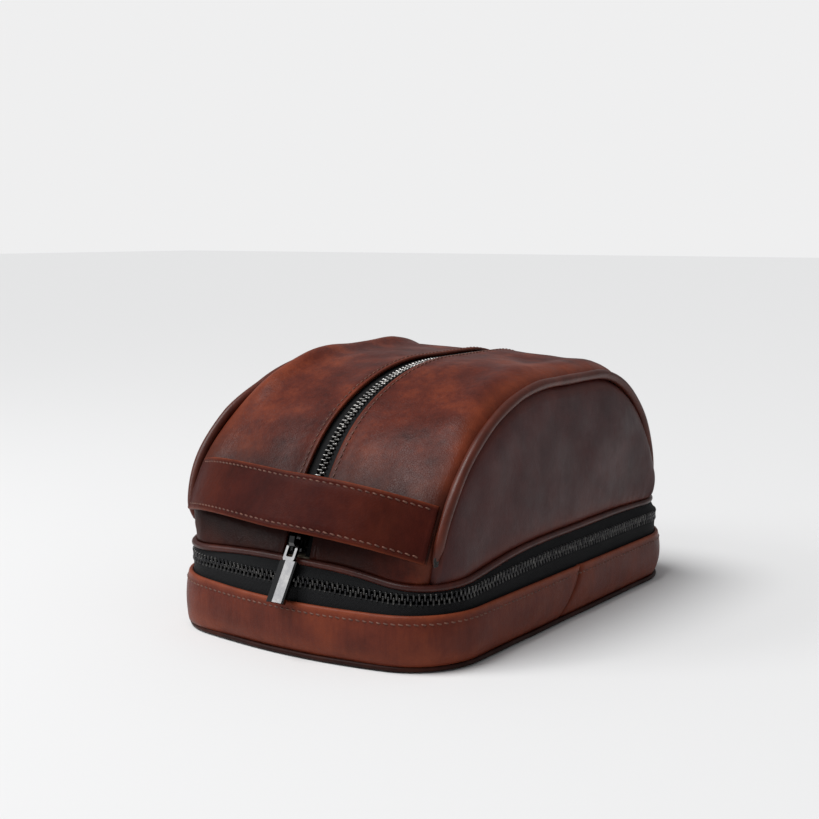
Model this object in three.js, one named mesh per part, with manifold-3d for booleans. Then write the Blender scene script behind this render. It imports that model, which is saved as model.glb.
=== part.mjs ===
// Leather shaving kit bag with two compartments: a shallow zipped tray below and a domed
// zipped bag above, hinged to the tray by a leather strip along the rear edge.
// Millimetres. +Z is up, Y runs along the bag with the handle strap at -Y, X across it.
// The origin is the centre of the base panel's resting face.
import * as THREE from "three";
import { mergeVertices } from "three/addons/utils/BufferGeometryUtils.js";
import Module from "manifold-3d";

const wasm = await Module();
wasm.setup();

// ---- driving dimensions -------------------------------------------------------------
const GAP = 0.3; // clearance between pieces that touch
const LEATHER = 1.8;
const TAPE = 0.8;
const LINING = 0.8;
const BOARD = 1.4; // stiffening board

const TRAY_LENGTH = 260;
const TRAY_WIDTH = 168;
const TRAY_CORNER = 38; // plan radius of the tray's corners
const FRONT_RADIUS = 250; // the front edge is bowed to this radius
const BAND_TOP = 28.5; // top edge of the tray's leather band
const CHAIN_Z = 36.5; // centre of the lower zip's chain
const CHAIN_HALF = 2.8; // half the width of a closed chain
const CHAIN_THICK = 2.4;
const PIPING_Z = 43.2; // underside of the piping round the body's base
const PIPING_SIZE = 3.4;
const BODY_Z = 46.9; // the domed body stands on that piping

const DOME_Y = -4.2; // centre of the arc that the top zip follows
const DOME_Z = 10.5;
const DOME_R = 121;
const REAR_Y = 46; // centre of the rear arc
const REAR_Z = 61.5;
const REAR_R = 70;
const BODY_HALF = 72; // half width of the body at its side piping, before it is crowned
const SIDE_PIPING_R = 2.2;

const TOP_GAP_HALF = 7.15; // half the opening between the two gusset leathers
const TOP_ZIP_END_Z = 88; // the top zip ends at this height down the rear

const STRAP_HEIGHT = 29;
const STRAP_TILT = THREE.MathUtils.degToRad(26.4); // of its outward direction above the horizontal
const STRAP_MID_R = 138.5; // its inner face at the middle, from the dome's centre
const STRAP_END_R = 115.6;
const STRAP_HALF = 71;
const STRAP_SLOPE = THREE.MathUtils.degToRad(2); // its left end is sewn in higher than its right
const STRAP_RAISE = 2;
const STRAP_OUTER = 1.6;
const STRAP_BACKING = 1.3;

const SLIDER_LENGTH = 13;
const SLIDER_HALF = 5.4;
const SLIDER_PLATE = 1.5;
const SLIDER_ANGLE = THREE.MathUtils.degToRad(21.3); // of the closed top slider above the horizontal
const PULL_TILT = THREE.MathUtils.degToRad(31); // of the top pull from the vertical at rest
const PULL_SKEW = THREE.MathUtils.degToRad(7); // it hangs a little askew on its bridge
const PULL_BAR = { width: 9.5, length: 25, thick: 3 };
const PULL_EYE = { width: 6.8, length: 11, thick: 1.6, wall: 1.4 };

// ---- materials ----------------------------------------------------------------------
const LOOKS = {
  leather: { color: 0x5a2416, roughness: 0.42, metalness: 0 },
  leather_dark: { color: 0x3c1915, roughness: 0.45, metalness: 0 },
  tape: { color: 0x1c1e22, roughness: 0.85, metalness: 0 },
  gunmetal: { color: 0x2b2a2c, roughness: 0.22, metalness: 1 },
  teeth: { color: 0x4a4848, roughness: 0.3, metalness: 1 },
  lining: { color: 0x24211f, roughness: 0.9, metalness: 0 },
  board: { color: 0x6d6253, roughness: 0.95, metalness: 0 },
};

// ---- solids -------------------------------------------------------------------------
function toSolid(geometry) {
  const bare = geometry.clone();
  bare.deleteAttribute("normal");
  bare.deleteAttribute("uv");
  const merged = mergeVertices(bare, 1e-4);
  return new wasm.Manifold(
    new wasm.Mesh({
      numProp: 3,
      vertProperties: new Float32Array(merged.attributes.position.array),
      triVerts: new Uint32Array(merged.index.array),
    }),
  );
}

function toGeometry(solid) {
  const mesh = solid.getMesh();
  const geometry = new THREE.BufferGeometry();
  geometry.setAttribute("position", new THREE.BufferAttribute(mesh.vertProperties, mesh.numProp));
  geometry.setIndex(new THREE.BufferAttribute(mesh.triVerts, 1));
  geometry.computeVertexNormals();
  return geometry;
}

function cut(geometry, ...cutters) {
  return toGeometry(cutters.reduce((solid, c) => solid.subtract(toSolid(c)), toSolid(geometry)));
}

function join(geometry, ...others) {
  return toGeometry(others.reduce((solid, o) => solid.add(toSolid(o)), toSolid(geometry)));
}

// A box between two corners.
function block(low, high) {
  const size = high.map((v, i) => v - low[i]);
  const middle = high.map((v, i) => (v + low[i]) / 2);
  return new THREE.BoxGeometry(...size).translate(...middle);
}

function extrude(shape, depth, curveSegments, options = {}) {
  return new THREE.ExtrudeGeometry(shape, {
    depth,
    curveSegments,
    bevelEnabled: false,
    ...options,
  });
}

// ---- the tray's plan outline --------------------------------------------------------
// A rounded rectangle with a bowed front. All its arcs keep their centres when it is inset.
function planPath(inset, path) {
  const radius = TRAY_CORNER - inset;
  const cornerX = TRAY_WIDTH / 2 - TRAY_CORNER;
  const rearY = TRAY_LENGTH / 2 - TRAY_CORNER;
  const bowY = FRONT_RADIUS - TRAY_LENGTH / 2;
  const frontY = bowY - Math.sqrt((FRONT_RADIUS - TRAY_CORNER) ** 2 - cornerX ** 2);
  const turn = Math.asin(cornerX / (FRONT_RADIUS - TRAY_CORNER));
  path.absarc(cornerX, frontY, radius, -Math.PI / 2 + turn, 0, false);
  path.absarc(cornerX, rearY, radius, 0, Math.PI / 2, false);
  path.absarc(-cornerX, rearY, radius, Math.PI / 2, Math.PI, false);
  path.absarc(-cornerX, frontY, radius, Math.PI, 1.5 * Math.PI - turn, false);
  path.absarc(0, bowY, FRONT_RADIUS - inset, 1.5 * Math.PI - turn, 1.5 * Math.PI + turn, false);
  return path;
}

function planPlate(inset, low, high) {
  return extrude(planPath(inset, new THREE.Shape()), high - low, 4).translate(0, 0, low);
}

// An upright wall round the plan, from one inset to a deeper one.
function planWall(outer, inner, low, high) {
  const shape = planPath(outer, new THREE.Shape());
  shape.holes.push(planPath(inner, new THREE.Path()));
  return extrude(shape, high - low, 4).translate(0, 0, low);
}

// A round-edged cord of piping round the plan.
const ROUND_SHARE = 0.3; // of the cord's size, taken off each edge
function planPiping(outer, size, low) {
  const round = size * ROUND_SHARE;
  const shape = planPath(outer + round, new THREE.Shape());
  shape.holes.push(planPath(outer + size - round, new THREE.Path()));
  const bevel = { bevelEnabled: true, bevelThickness: round, bevelSize: round, bevelSegments: 2 };
  return extrude(shape, size - 2 * round, 4, bevel).translate(0, 0, low + round);
}

const FAR = 400; // cutters reach past everything
const PAST = 1; // or just past one face
const REAR_CUT_Y = 60; // cutters of the rear edge alone begin here
const HINGE_HALF = 44; // half the length of the rear hinge strip
const ZIP_END = HINGE_HALF + 3; // the lower zip stops this far from the middle of the rear edge

// A wall that leaves the hinge strip's stretch of the rear edge open.
function zipWall(outer, inner, low, high) {
  const opening = block([-ZIP_END, REAR_CUT_Y, low - PAST], [ZIP_END, FAR, high + PAST]);
  return cut(planWall(outer, inner, low, high), opening);
}

// ---- the dome -----------------------------------------------------------------------
// Its outline along the bag, as seen from +X: a front arc about the dome's centre, a level
// crown and a tighter rear arc. An inset outline keeps the same centres.
const ALONG = new THREE.Matrix4().makeBasis(
  new THREE.Vector3(0, 1, 0),
  new THREE.Vector3(0, 0, 1),
  new THREE.Vector3(1, 0, 0),
);

function frontAngle(inset, floor) {
  return Math.asin((floor - DOME_Z) / (DOME_R - inset));
}

function archPath(path, inset, floor) {
  const front = Math.PI - frontAngle(inset, floor);
  path.absarc(DOME_Y, DOME_Z, DOME_R - inset, front, Math.PI / 2, true);
  path.absarc(REAR_Y, REAR_Z, REAR_R - inset, Math.PI / 2, 0, true);
  path.lineTo(REAR_Y + REAR_R - inset, floor);
  return path;
}

// A band of leather between two insets, from low to high across the bag.
function archBand(outer, inner, low, high, steps, floor = BODY_Z) {
  const shape = archPath(new THREE.Shape(), outer, floor);
  shape.lineTo(REAR_Y + REAR_R - inner, floor);
  shape.absarc(REAR_Y, REAR_Z, REAR_R - inner, 0, Math.PI / 2, false);
  const front = Math.PI - frontAngle(inner, floor);
  shape.absarc(DOME_Y, DOME_Z, DOME_R - inner, Math.PI / 2, front, false);
  return extrude(shape, high - low, 8, { steps }).translate(0, 0, low).applyMatrix4(ALONG);
}

function archPlate(inset, low, high, floor = BODY_Z, steps = 1) {
  const shape = archPath(new THREE.Shape(), inset, floor);
  return extrude(shape, high - low, 8, { steps }).translate(0, 0, low).applyMatrix4(ALONG);
}

// The dome's top and front swell between the side pipings, its sides lean in a little
// towards the top, and its right side has sunk more than its left. Every piece of the dome
// goes through the same change of shape.
const CROWN_DROP = { left: 0, right: 0.115 }; // share of the height lost at the side piping
const CROWN_BACK = 0.035; // share of the length lost there
const CORNER_BACK = 0.03; // more length lost close to the corners
const BASE_SPREAD = 0.045; // share of the width gained at the base
const TOP_SPREAD = -0.01; // and at the crown

function crown(geometry) {
  const place = geometry.getAttribute("position");
  const rise = DOME_Z + DOME_R - BODY_Z;
  for (let i = 0; i < place.count; i++) {
    const across = Math.abs(place.getX(i)) / BODY_HALF;
    const height = place.getZ(i) - BODY_Z;
    const spread = BASE_SPREAD + ((TOP_SPREAD - BASE_SPREAD) * height) / rise;
    place.setX(i, place.getX(i) * (1 + spread));
    place.setY(i, place.getY(i) * (1 - CROWN_BACK * across ** 2 - CORNER_BACK * across ** 8));
    const drop = place.getX(i) < 0 ? CROWN_DROP.left : CROWN_DROP.right;
    place.setZ(i, BODY_Z + height * (1 - drop * across ** 2));
  }
  place.needsUpdate = true;
  geometry.computeVertexNormals();
  return geometry;
}

// ---- the group ----------------------------------------------------------------------
const bag = new THREE.Group();
bag.name = "shaving_kit_bag";

function add(name, look, geometry, parent = bag) {
  const mesh = new THREE.Mesh(geometry, new THREE.MeshStandardMaterial(LOOKS[look]));
  mesh.name = name;
  parent.add(mesh);
  return mesh;
}

// ---- tray ---------------------------------------------------------------------------
const WELT_SIZE = 2.4; // piping round the base
const WELT_INSET = 0.4; // it lies this far in from the band and up from the resting face
const BASE_INSET = WELT_INSET + WELT_SIZE + 0.5;
const WALL_LOW = WELT_INSET + WELT_SIZE + GAP;
const BOARD_INSET = LEATHER + GAP;
const TAPE_INSET = BOARD_INSET + BOARD + GAP;
const TRAY_LINING_INSET = TAPE_INSET + TAPE + GAP;
const SEAM_Y = 0; // the band's side seams
const BODY_TAPE_INSET = TAPE_INSET + 1.4; // the body's tape stands further in, under the piping
const TEETH_INSET = 3; // the chain bulges out past its tapes
const TAPE_END = CHAIN_Z - CHAIN_HALF - GAP;
const BOARD_LOW = LEATHER + GAP;
const LINING_LOW = BOARD_LOW + BOARD + GAP;

add("base_panel", "leather", planPlate(BASE_INSET, 0, LEATHER));
const BASE_BOARD_INSET = BASE_INSET + 2;
add("base_stiffener", "board", planPlate(BASE_BOARD_INSET, BOARD_LOW, BOARD_LOW + BOARD));
add("base_piping", "leather_dark", planPiping(WELT_INSET, WELT_SIZE, WELT_INSET));

const band = planWall(0, LEATHER, WALL_LOW, BAND_TOP);
const rearHalf = block([-FAR, SEAM_Y - GAP / 2, -1], [FAR, FAR, FAR]);
const frontHalf = block([-FAR, -FAR, -1], [FAR, SEAM_Y + GAP / 2, FAR]);
add("tray_wall_front", "leather", cut(band, rearHalf));
add("tray_wall_rear", "leather", cut(band, frontHalf));
const boardLow = WALL_LOW + 1;
const boardTop = BAND_TOP - 4; // the board stops below the topstitch
add("tray_wall_stiffener", "board", planWall(BOARD_INSET, BOARD_INSET + BOARD, boardLow, boardTop));

const liningTop = BAND_TOP - 1;
const trayLining = planPlate(TRAY_LINING_INSET, LINING_LOW, liningTop);
const trayLiningHollow = planPlate(TRAY_LINING_INSET + LINING, LINING_LOW + LINING, liningTop + PAST);
add("tray_lining", "lining", cut(trayLining, trayLiningHollow));

// ---- lower zip ----------------------------------------------------------------------
const tapeLow = BAND_TOP - 7; // the tape is sewn in behind the band
const teethInner = TEETH_INSET + CHAIN_THICK;
const chainLow = CHAIN_Z - CHAIN_HALF;
const chainHigh = CHAIN_Z + CHAIN_HALF;
add("lower_zip_tape_tray", "tape", zipWall(TAPE_INSET, TAPE_INSET + TAPE, tapeLow, TAPE_END));
add("lower_zip_teeth_tray", "teeth", zipWall(TEETH_INSET, teethInner, chainLow, CHAIN_Z - GAP / 2));
add("lower_zip_teeth_body", "teeth", zipWall(TEETH_INSET, teethInner, CHAIN_Z + GAP / 2, chainHigh));
const bodyTapeInner = BODY_TAPE_INSET + TAPE;
add("lower_zip_tape_body", "tape", zipWall(BODY_TAPE_INSET, bodyTapeInner, chainHigh + GAP, PIPING_Z - GAP));

// Metal stops at the two ends of the lower zip, on the tray's row.
const rearFace = TRAY_LENGTH / 2;
for (const [side, name] of [[-1, "left"], [1, "right"]]) {
  const near = side * HINGE_HALF;
  const far = side * (ZIP_END - GAP);
  const xs = [Math.min(near, far), Math.max(near, far)];
  const low = [xs[0], rearFace - teethInner, CHAIN_Z - CHAIN_HALF];
  const high = [xs[1], rearFace - TEETH_INSET, CHAIN_Z - GAP];
  add(`lower_zip_stop_${name}`, "gunmetal", block(low, high));
}

// The hinge strip closes the rear edge between the zip's ends.
const HINGE_INSET = 1;
const hingeStrip = planWall(HINGE_INSET, HINGE_INSET + LEATHER, BAND_TOP + GAP, PIPING_Z - GAP);
const hingeEnds = [-1, 1].map((side) => {
  const xs = [side * HINGE_HALF, side * FAR].sort((a, b) => a - b);
  return block([xs[0], -FAR, 0], [xs[1], FAR, FAR]);
});
const ahead = block([-FAR, -FAR, 0], [FAR, REAR_CUT_Y, FAR]);
add("rear_hinge_strip", "leather", cut(hingeStrip, ahead, ...hingeEnds));

// ---- base of the domed body ---------------------------------------------------------
const PIPING_INSET = 6.5;
const DIVIDER_INSET = PIPING_INSET + PIPING_SIZE + GAP;
const DIVIDER_Z = PIPING_Z - 0.6;
const dividerTop = DIVIDER_Z + LEATHER;
add("body_piping", "leather", planPiping(PIPING_INSET, PIPING_SIZE, PIPING_Z));
add("divider_panel", "lining", planPlate(DIVIDER_INSET, DIVIDER_Z, dividerTop));
add("divider_stiffener", "board", planPlate(DIVIDER_INSET, dividerTop + GAP, dividerTop + GAP + BOARD));

// ---- dome ---------------------------------------------------------------------------
const GUSSET_END = BODY_HALF - SIDE_PIPING_R - GAP;
const SIDE_LOW = BODY_HALF - LEATHER;
const SIDE_HIGH = BODY_HALF - 0.2;
const SIDE_INSET = SIDE_PIPING_R + 0.6;
const TOP_TAPE_INSET = LEATHER + GAP;
const TOP_TEETH_INSET = 0.4;
const TOP_TEETH_DEPTH = 3;
const TOP_TEETH_OUT = 2.95;
const TOP_TAPE_IN = TOP_TEETH_OUT + 0.2;
const TOP_TAPE_OUT = 13;
const UPPER_LINING_INSET = TOP_TAPE_INSET + TAPE + GAP;
const LINING_HALF = SIDE_LOW - GAP;
const ZIP_SLOT_HALF = 9;
const STOP_LENGTH = 4; // room for the stop at the top zip's rear end

// The space behind the dome and under the top zip's rear end.
function belowZipEnd(halfWidth) {
  return block([-halfWidth, REAR_Y, 0], [halfWidth, FAR, TOP_ZIP_END_Z]);
}

// A box that takes out the zip's opening down to its rear end.
function zipOpening(halfWidth) {
  return cut(block([-halfWidth, -FAR, 0], [halfWidth, FAR, FAR]), belowZipEnd(halfWidth + PAST));
}

function mirrored(side, geometry) {
  if (side > 0) return geometry;
  return toGeometry(toSolid(geometry).mirror([1, 0, 0]));
}

// The side piping follows the dome's outline a little outside the side panel's edge.
class ArchCurve extends THREE.Curve {
  constructor(side) {
    super();
    this.side = side;
    this.outline = archPath(new THREE.Path(), 0, BODY_Z + SIDE_PIPING_R);
  }
  getPoint(t, target = new THREE.Vector3()) {
    const p = this.outline.getPoint(t);
    return target.set(this.side * BODY_HALF, p.x, p.y);
  }
}

function roundSection(radius, sides) {
  const shape = new THREE.Shape();
  for (let i = 0; i < sides; i++) {
    const angle = (2 * Math.PI * i) / sides;
    const point = [radius * Math.cos(angle), radius * Math.sin(angle)];
    if (i === 0) shape.moveTo(...point);
    else shape.lineTo(...point);
  }
  shape.closePath();
  return shape;
}

for (const [side, name] of [[-1, "left"], [1, "right"]]) {
  const gusset = cut(archBand(0, LEATHER, GAP / 2, GUSSET_END, 8), zipOpening(TOP_GAP_HALF));
  add(`gusset_${name}`, "leather", crown(mirrored(side, gusset)));

  const panel = archPlate(SIDE_INSET, SIDE_LOW, SIDE_HIGH);
  add(`side_panel_${name}`, "leather_dark", crown(mirrored(side, panel)));

  const piping = new THREE.ExtrudeGeometry(roundSection(SIDE_PIPING_R, 8), {
    extrudePath: new ArchCurve(side),
    steps: 44,
    bevelEnabled: false,
  });
  add(`side_piping_${name}`, "leather", crown(piping));

  const tapeBand = archBand(TOP_TAPE_INSET, TOP_TAPE_INSET + TAPE, TOP_TAPE_IN, TOP_TAPE_OUT, 2);
  const tape = cut(tapeBand, belowZipEnd(TOP_TAPE_OUT + PAST));
  add(`top_zip_tape_${name}`, "tape", crown(mirrored(side, tape)));

  const teethInset = TOP_TEETH_INSET + TOP_TEETH_DEPTH;
  const teethBand = archBand(TOP_TEETH_INSET, teethInset, GAP / 2, TOP_TEETH_OUT, 1);
  const teeth = cut(teethBand, belowZipEnd(TOP_TAPE_OUT).translate(0, 0, STOP_LENGTH));
  add(`top_zip_teeth_${name}`, "teeth", crown(mirrored(side, teeth)));
}

// The stop that closes the rear end of the top zip.
const stopBand = archBand(TOP_TEETH_INSET, TOP_TEETH_INSET + CHAIN_THICK, -TOP_TEETH_OUT, TOP_TEETH_OUT, 1);
const aboveStop = block([-FAR, -FAR, TOP_ZIP_END_Z + STOP_LENGTH - GAP], [FAR, FAR, FAR]);
const belowStop = block([-FAR, -FAR, 0], [FAR, FAR, TOP_ZIP_END_Z + GAP]);
const aheadOfStop = block([-FAR, -FAR, 0], [FAR, 0, FAR]);
add("top_zip_stop", "gunmetal", crown(cut(stopBand, aboveStop, belowStop, aheadOfStop)));

// The lining is a thin shell inside the dome, open under the zip.
const liningFloor = BODY_Z + GAP;
const liningShell = archPlate(UPPER_LINING_INSET, -LINING_HALF, LINING_HALF, liningFloor, 16);
const hollowHalf = LINING_HALF - LINING;
const hollowInset = UPPER_LINING_INSET + LINING;
const liningHollow = archPlate(hollowInset, -hollowHalf, hollowHalf, liningFloor + LINING, 16);
const liningSlot = zipOpening(ZIP_SLOT_HALF).translate(0, 0, STOP_LENGTH);
add("upper_lining", "lining", crown(cut(liningShell, liningHollow, liningSlot)));

// ---- handle strap -------------------------------------------------------------------
// A bowed band whose face is square to a line tilted up from the front.
const OUTWARD = new THREE.Vector3(0, -Math.cos(STRAP_TILT), Math.sin(STRAP_TILT));
const ACROSS = new THREE.Vector3(1, 0, 0);
const strapGroup = new THREE.Group();
strapGroup.quaternion.setFromRotationMatrix(
  new THREE.Matrix4().makeBasis(ACROSS, OUTWARD, ACROSS.clone().cross(OUTWARD)),
);
strapGroup.rotateY(-STRAP_SLOPE);
strapGroup.position.set(0, DOME_Y, DOME_Z + STRAP_RAISE);
bag.add(strapGroup);

const strapBow = STRAP_MID_R - STRAP_END_R;
const strapRadius = (STRAP_HALF ** 2 + strapBow ** 2) / (2 * strapBow);

function strapLayer(outward, thick) {
  const centre = STRAP_MID_R - strapRadius;
  const half = Math.asin(STRAP_HALF / strapRadius);
  const inner = strapRadius + outward;
  const shape = new THREE.Shape();
  shape.absarc(0, centre, inner, Math.PI / 2 - half, Math.PI / 2 + half, false);
  shape.absarc(0, centre, inner + thick, Math.PI / 2 + half, Math.PI / 2 - half, true);
  return extrude(shape, STRAP_HEIGHT, 12).translate(0, 0, -STRAP_HEIGHT / 2);
}

add("handle_strap_backing", "leather_dark", strapLayer(0, STRAP_BACKING), strapGroup);
add("handle_strap_outer", "leather", strapLayer(STRAP_BACKING + GAP, STRAP_OUTER), strapGroup);

// ---- sliders and pulls --------------------------------------------------------------
// In a slider's own frame +Y points out of the zip, +Z along the zip towards the pull,
// and y = 0 is the outer face of the teeth.
const PLATE_LOW = GAP;
const PLATE_TOP = PLATE_LOW + SLIDER_PLATE;
const BRIDGE = { low: PLATE_TOP + GAP, top: PLATE_TOP + 4.8, wall: 1.5, rear: -4.5, front: 5, half: 1.5 };
const PIVOT = { y: PLATE_TOP + 1.75, z: 1.9 };
const SLIDER_TAPER = 1.6; // the body narrows by this much on each side towards the pull
const LIP_IN = 3.3; // the lips hang outside the chain
const LIP_LOW = -1.3;

// Lays a shape drawn in X and Y down into X and Z, with its depth towards -Y.
const LIE_FLAT = new THREE.Matrix4().makeRotationX(Math.PI / 2);

// The slider's body: a tapered plate over the teeth with a lip down each side.
function sliderBody(lips) {
  const half = SLIDER_LENGTH / 2;
  const shape = new THREE.Shape();
  shape.moveTo(-SLIDER_HALF, -half);
  shape.lineTo(SLIDER_HALF, -half);
  shape.lineTo(SLIDER_HALF, 0);
  shape.lineTo(SLIDER_HALF - SLIDER_TAPER, half);
  shape.lineTo(SLIDER_TAPER - SLIDER_HALF, half);
  shape.lineTo(-SLIDER_HALF, 0);
  const flat = extrude(shape, SLIDER_PLATE, 4);
  const plate = flat.applyMatrix4(LIE_FLAT).translate(0, PLATE_TOP, 0);
  const lipHigh = (PLATE_LOW + PLATE_TOP) / 2;
  const lipBlocks = lips.map((side) => {
    const xs = [side * LIP_IN, side * (SLIDER_HALF - SLIDER_TAPER)].sort((a, b) => a - b);
    return block([xs[0], LIP_LOW, -half], [xs[1], lipHigh, half]);
  });
  return join(plate, ...lipBlocks);
}

// A loop over the body that the pull's eye passes under.
function sliderBridge() {
  const full = block([-BRIDGE.half, BRIDGE.low, BRIDGE.rear], [BRIDGE.half, BRIDGE.top, BRIDGE.front]);
  const way = block(
    [-BRIDGE.half - PAST, BRIDGE.low - PAST, BRIDGE.rear + BRIDGE.wall],
    [BRIDGE.half + PAST, BRIDGE.top - BRIDGE.wall, BRIDGE.front - BRIDGE.wall],
  );
  return cut(full, way);
}

// The pull's eye and bar, drawn along +Z from the pivot, with +Y outwards.
function pullEye() {
  const { width, length, thick, wall } = PULL_EYE;
  const near = -thick / 2;
  const ring = block([-width / 2, -thick / 2, near], [width / 2, thick / 2, near + length]);
  const far = near + length - wall;
  const windowLow = [-width / 2 + wall, -thick, near + thick];
  return cut(ring, block(windowLow, [width / 2 - wall, thick, far]));
}

function pullBar() {
  const { width, length, thick } = PULL_BAR;
  const edge = 0.6;
  const shape = new THREE.Shape();
  shape.moveTo(-width / 2 + edge, -thick / 2);
  shape.lineTo(width / 2 - edge, -thick / 2);
  shape.lineTo(width / 2, -thick / 2 + edge);
  shape.lineTo(width / 2, thick / 2 - edge);
  shape.lineTo(width / 2 - edge, thick / 2);
  shape.lineTo(-width / 2 + edge, thick / 2);
  shape.lineTo(-width / 2, thick / 2 - edge);
  shape.lineTo(-width / 2, -thick / 2 + edge);
  const near = PULL_EYE.length - PULL_EYE.thick / 2 + GAP;
  return extrude(shape, length, 1).translate(0, 0, near);
}

// Adds a slider whose frame is given by its place and its outward and pull directions.
function addSlider(name, place, outward, towardsPull, turn, skew, lips) {
  const slider = new THREE.Group();
  const across = outward.clone().cross(towardsPull);
  slider.quaternion.setFromRotationMatrix(new THREE.Matrix4().makeBasis(across, outward, towardsPull));
  slider.position.copy(place);
  bag.add(slider);
  add(`${name}_slider_body`, "gunmetal", sliderBody(lips), slider);
  add(`${name}_slider_bridge`, "gunmetal", sliderBridge(), slider);
  const pull = new THREE.Group();
  pull.position.set(0, PIVOT.y, PIVOT.z);
  pull.rotation.set(turn, skew, 0);
  slider.add(pull);
  add(`${name}_pull_eye`, "gunmetal", pullEye(), pull);
  add(`${name}_pull_bar`, "gunmetal", pullBar(), pull);
}

// Top slider: closed, at the front end of the zip, with its pull leaning on the lower zip.
const topTeethR = DOME_R - TOP_TEETH_INSET;
const topOut = new THREE.Vector3(0, -Math.cos(SLIDER_ANGLE), Math.sin(SLIDER_ANGLE));
const topDown = new THREE.Vector3(0, -Math.sin(SLIDER_ANGLE), -Math.cos(SLIDER_ANGLE));
const topPlace = new THREE.Vector3(0, DOME_Y, DOME_Z).addScaledVector(topOut, topTeethR);
addSlider("top", topPlace, topOut, topDown, SLIDER_ANGLE - PULL_TILT, PULL_SKEW, [-1, 1]);

// Lower slider: closed, at the rear of the left side, with its pull lying along the zip.
const LOWER_SLIDER_Y = 80;
const lowerPlace = new THREE.Vector3(-TRAY_WIDTH / 2 + TEETH_INSET, LOWER_SLIDER_Y, CHAIN_Z);
addSlider("lower", lowerPlace, new THREE.Vector3(-1, 0, 0), new THREE.Vector3(0, 1, 0), 0, 0, [-1]);

export default bag;
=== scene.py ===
import math

import bmesh
import bpy
import numpy as np
from mathutils import Matrix, Vector


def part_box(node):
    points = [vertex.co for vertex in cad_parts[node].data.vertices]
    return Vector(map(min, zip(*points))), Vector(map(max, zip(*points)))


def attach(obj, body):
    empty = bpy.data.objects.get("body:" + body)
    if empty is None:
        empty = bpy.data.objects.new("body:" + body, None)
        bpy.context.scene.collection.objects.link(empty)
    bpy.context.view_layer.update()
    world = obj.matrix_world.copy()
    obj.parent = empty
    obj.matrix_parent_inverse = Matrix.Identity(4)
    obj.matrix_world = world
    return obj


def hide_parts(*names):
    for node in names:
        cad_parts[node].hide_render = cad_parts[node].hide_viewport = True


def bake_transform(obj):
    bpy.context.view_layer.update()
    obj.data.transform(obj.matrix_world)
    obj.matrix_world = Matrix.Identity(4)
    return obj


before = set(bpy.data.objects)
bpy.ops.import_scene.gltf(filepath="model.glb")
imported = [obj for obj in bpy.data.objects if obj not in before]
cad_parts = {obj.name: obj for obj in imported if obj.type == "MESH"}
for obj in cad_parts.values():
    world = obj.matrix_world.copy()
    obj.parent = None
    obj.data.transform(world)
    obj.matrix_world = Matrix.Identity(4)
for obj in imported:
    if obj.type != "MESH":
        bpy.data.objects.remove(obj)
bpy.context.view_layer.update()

MM = 0.001


def cad(node):
    """A CAD node's lowest and highest corners in millimetres."""
    low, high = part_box(node)
    return np.array(low) / MM, np.array(high) / MM


# ---- driving dimensions, from the frame where it has them ----
BAND_LOW, BAND_HIGH = cad("tray_wall_front")
REAR_HIGH = cad("tray_wall_rear")[1]
TRAY_LENGTH = REAR_HIGH[1] - BAND_LOW[1]
HALF_LENGTH = TRAY_LENGTH / 2
TRAY_WIDTH = BAND_HIGH[0] - BAND_LOW[0]
TRAY_CORNER = 38.0
FRONT_RADIUS = 250.0
BAND_TOP = BAND_HIGH[2]
BAND_BASE = BAND_LOW[2]
SEAM_Y = BAND_HIGH[1]
LEATHER = 1.8

CHAIN_Z = (cad("lower_zip_teeth_tray")[0][2] + cad("lower_zip_teeth_body")[1][2]) / 2
CHAIN_INSET = BAND_HIGH[0] - cad("lower_zip_teeth_tray")[1][0] + 1.2
PIPING_LOW, PIPING_HIGH = cad("body_piping")
PIPING_R = (PIPING_HIGH[2] - PIPING_LOW[2]) / 2
PIPING_Z = (PIPING_HIGH[2] + PIPING_LOW[2]) / 2
PIPING_INSET = BAND_HIGH[0] - PIPING_HIGH[0] + PIPING_R
BODY_Z = cad("gusset_left")[0][2]
ZIP_END = 47.0
HINGE_HALF = cad("rear_hinge_strip")[1][0]

DOME_Y, DOME_Z, DOME_R = -4.2, 10.5, 121.0
REAR_Y, REAR_Z, REAR_R = 46.0, 61.5, 70.0
BODY_HALF = 72.0
SIDE_PIPING_R = 2.55
ZIP_GAP_HALF = 7.15
TOOTH_PITCH = 2.8

STRAP_TILT = math.radians(26.4)
STRAP_HALF = 72.5
STRAP_MID_R = 138.5
STRAP_END_R = 118.0
STRAP_HEIGHT = 27.5
RIGHT_END_IN = 5.0  # the strap's right end lies this much closer, where the dome slopes away
RIGHT_END_SHORT = 0.045  # and stops this share shorter, just inside the side piping


# ---- meshes ----
def new_object(name, verts, faces, uvs=None, marks=None):
    """A mesh object from vertices in millimetres, with corner UVs in metres and named marks."""
    mesh = bpy.data.meshes.new(name)
    mesh.from_pydata((np.asarray(verts) * MM).tolist(), [], [list(f) for f in faces])
    if uvs is not None:
        layer = mesh.uv_layers.new(name="Cut")
        layer.uv.foreach_set("vector", (np.asarray(uvs, np.float32) * MM).ravel())
    for mark, values in (marks or {}).items():
        attribute = mesh.attributes.new(mark, "FLOAT", "POINT")
        attribute.data.foreach_set("value", np.asarray(values, np.float32).ravel())
    mesh.polygons.foreach_set("use_smooth", [True] * len(mesh.polygons))
    mesh.validate()
    mesh.update()
    obj = bpy.data.objects.new(name, mesh)
    bpy.context.scene.collection.objects.link(obj)
    return obj


def face_out(obj):
    """Turns the faces of a closed mesh outwards."""
    bm = bmesh.new()
    bm.from_mesh(obj.data)
    bmesh.ops.recalc_face_normals(bm, faces=bm.faces)
    bm.to_mesh(obj.data)
    bm.free()
    return obj


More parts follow.
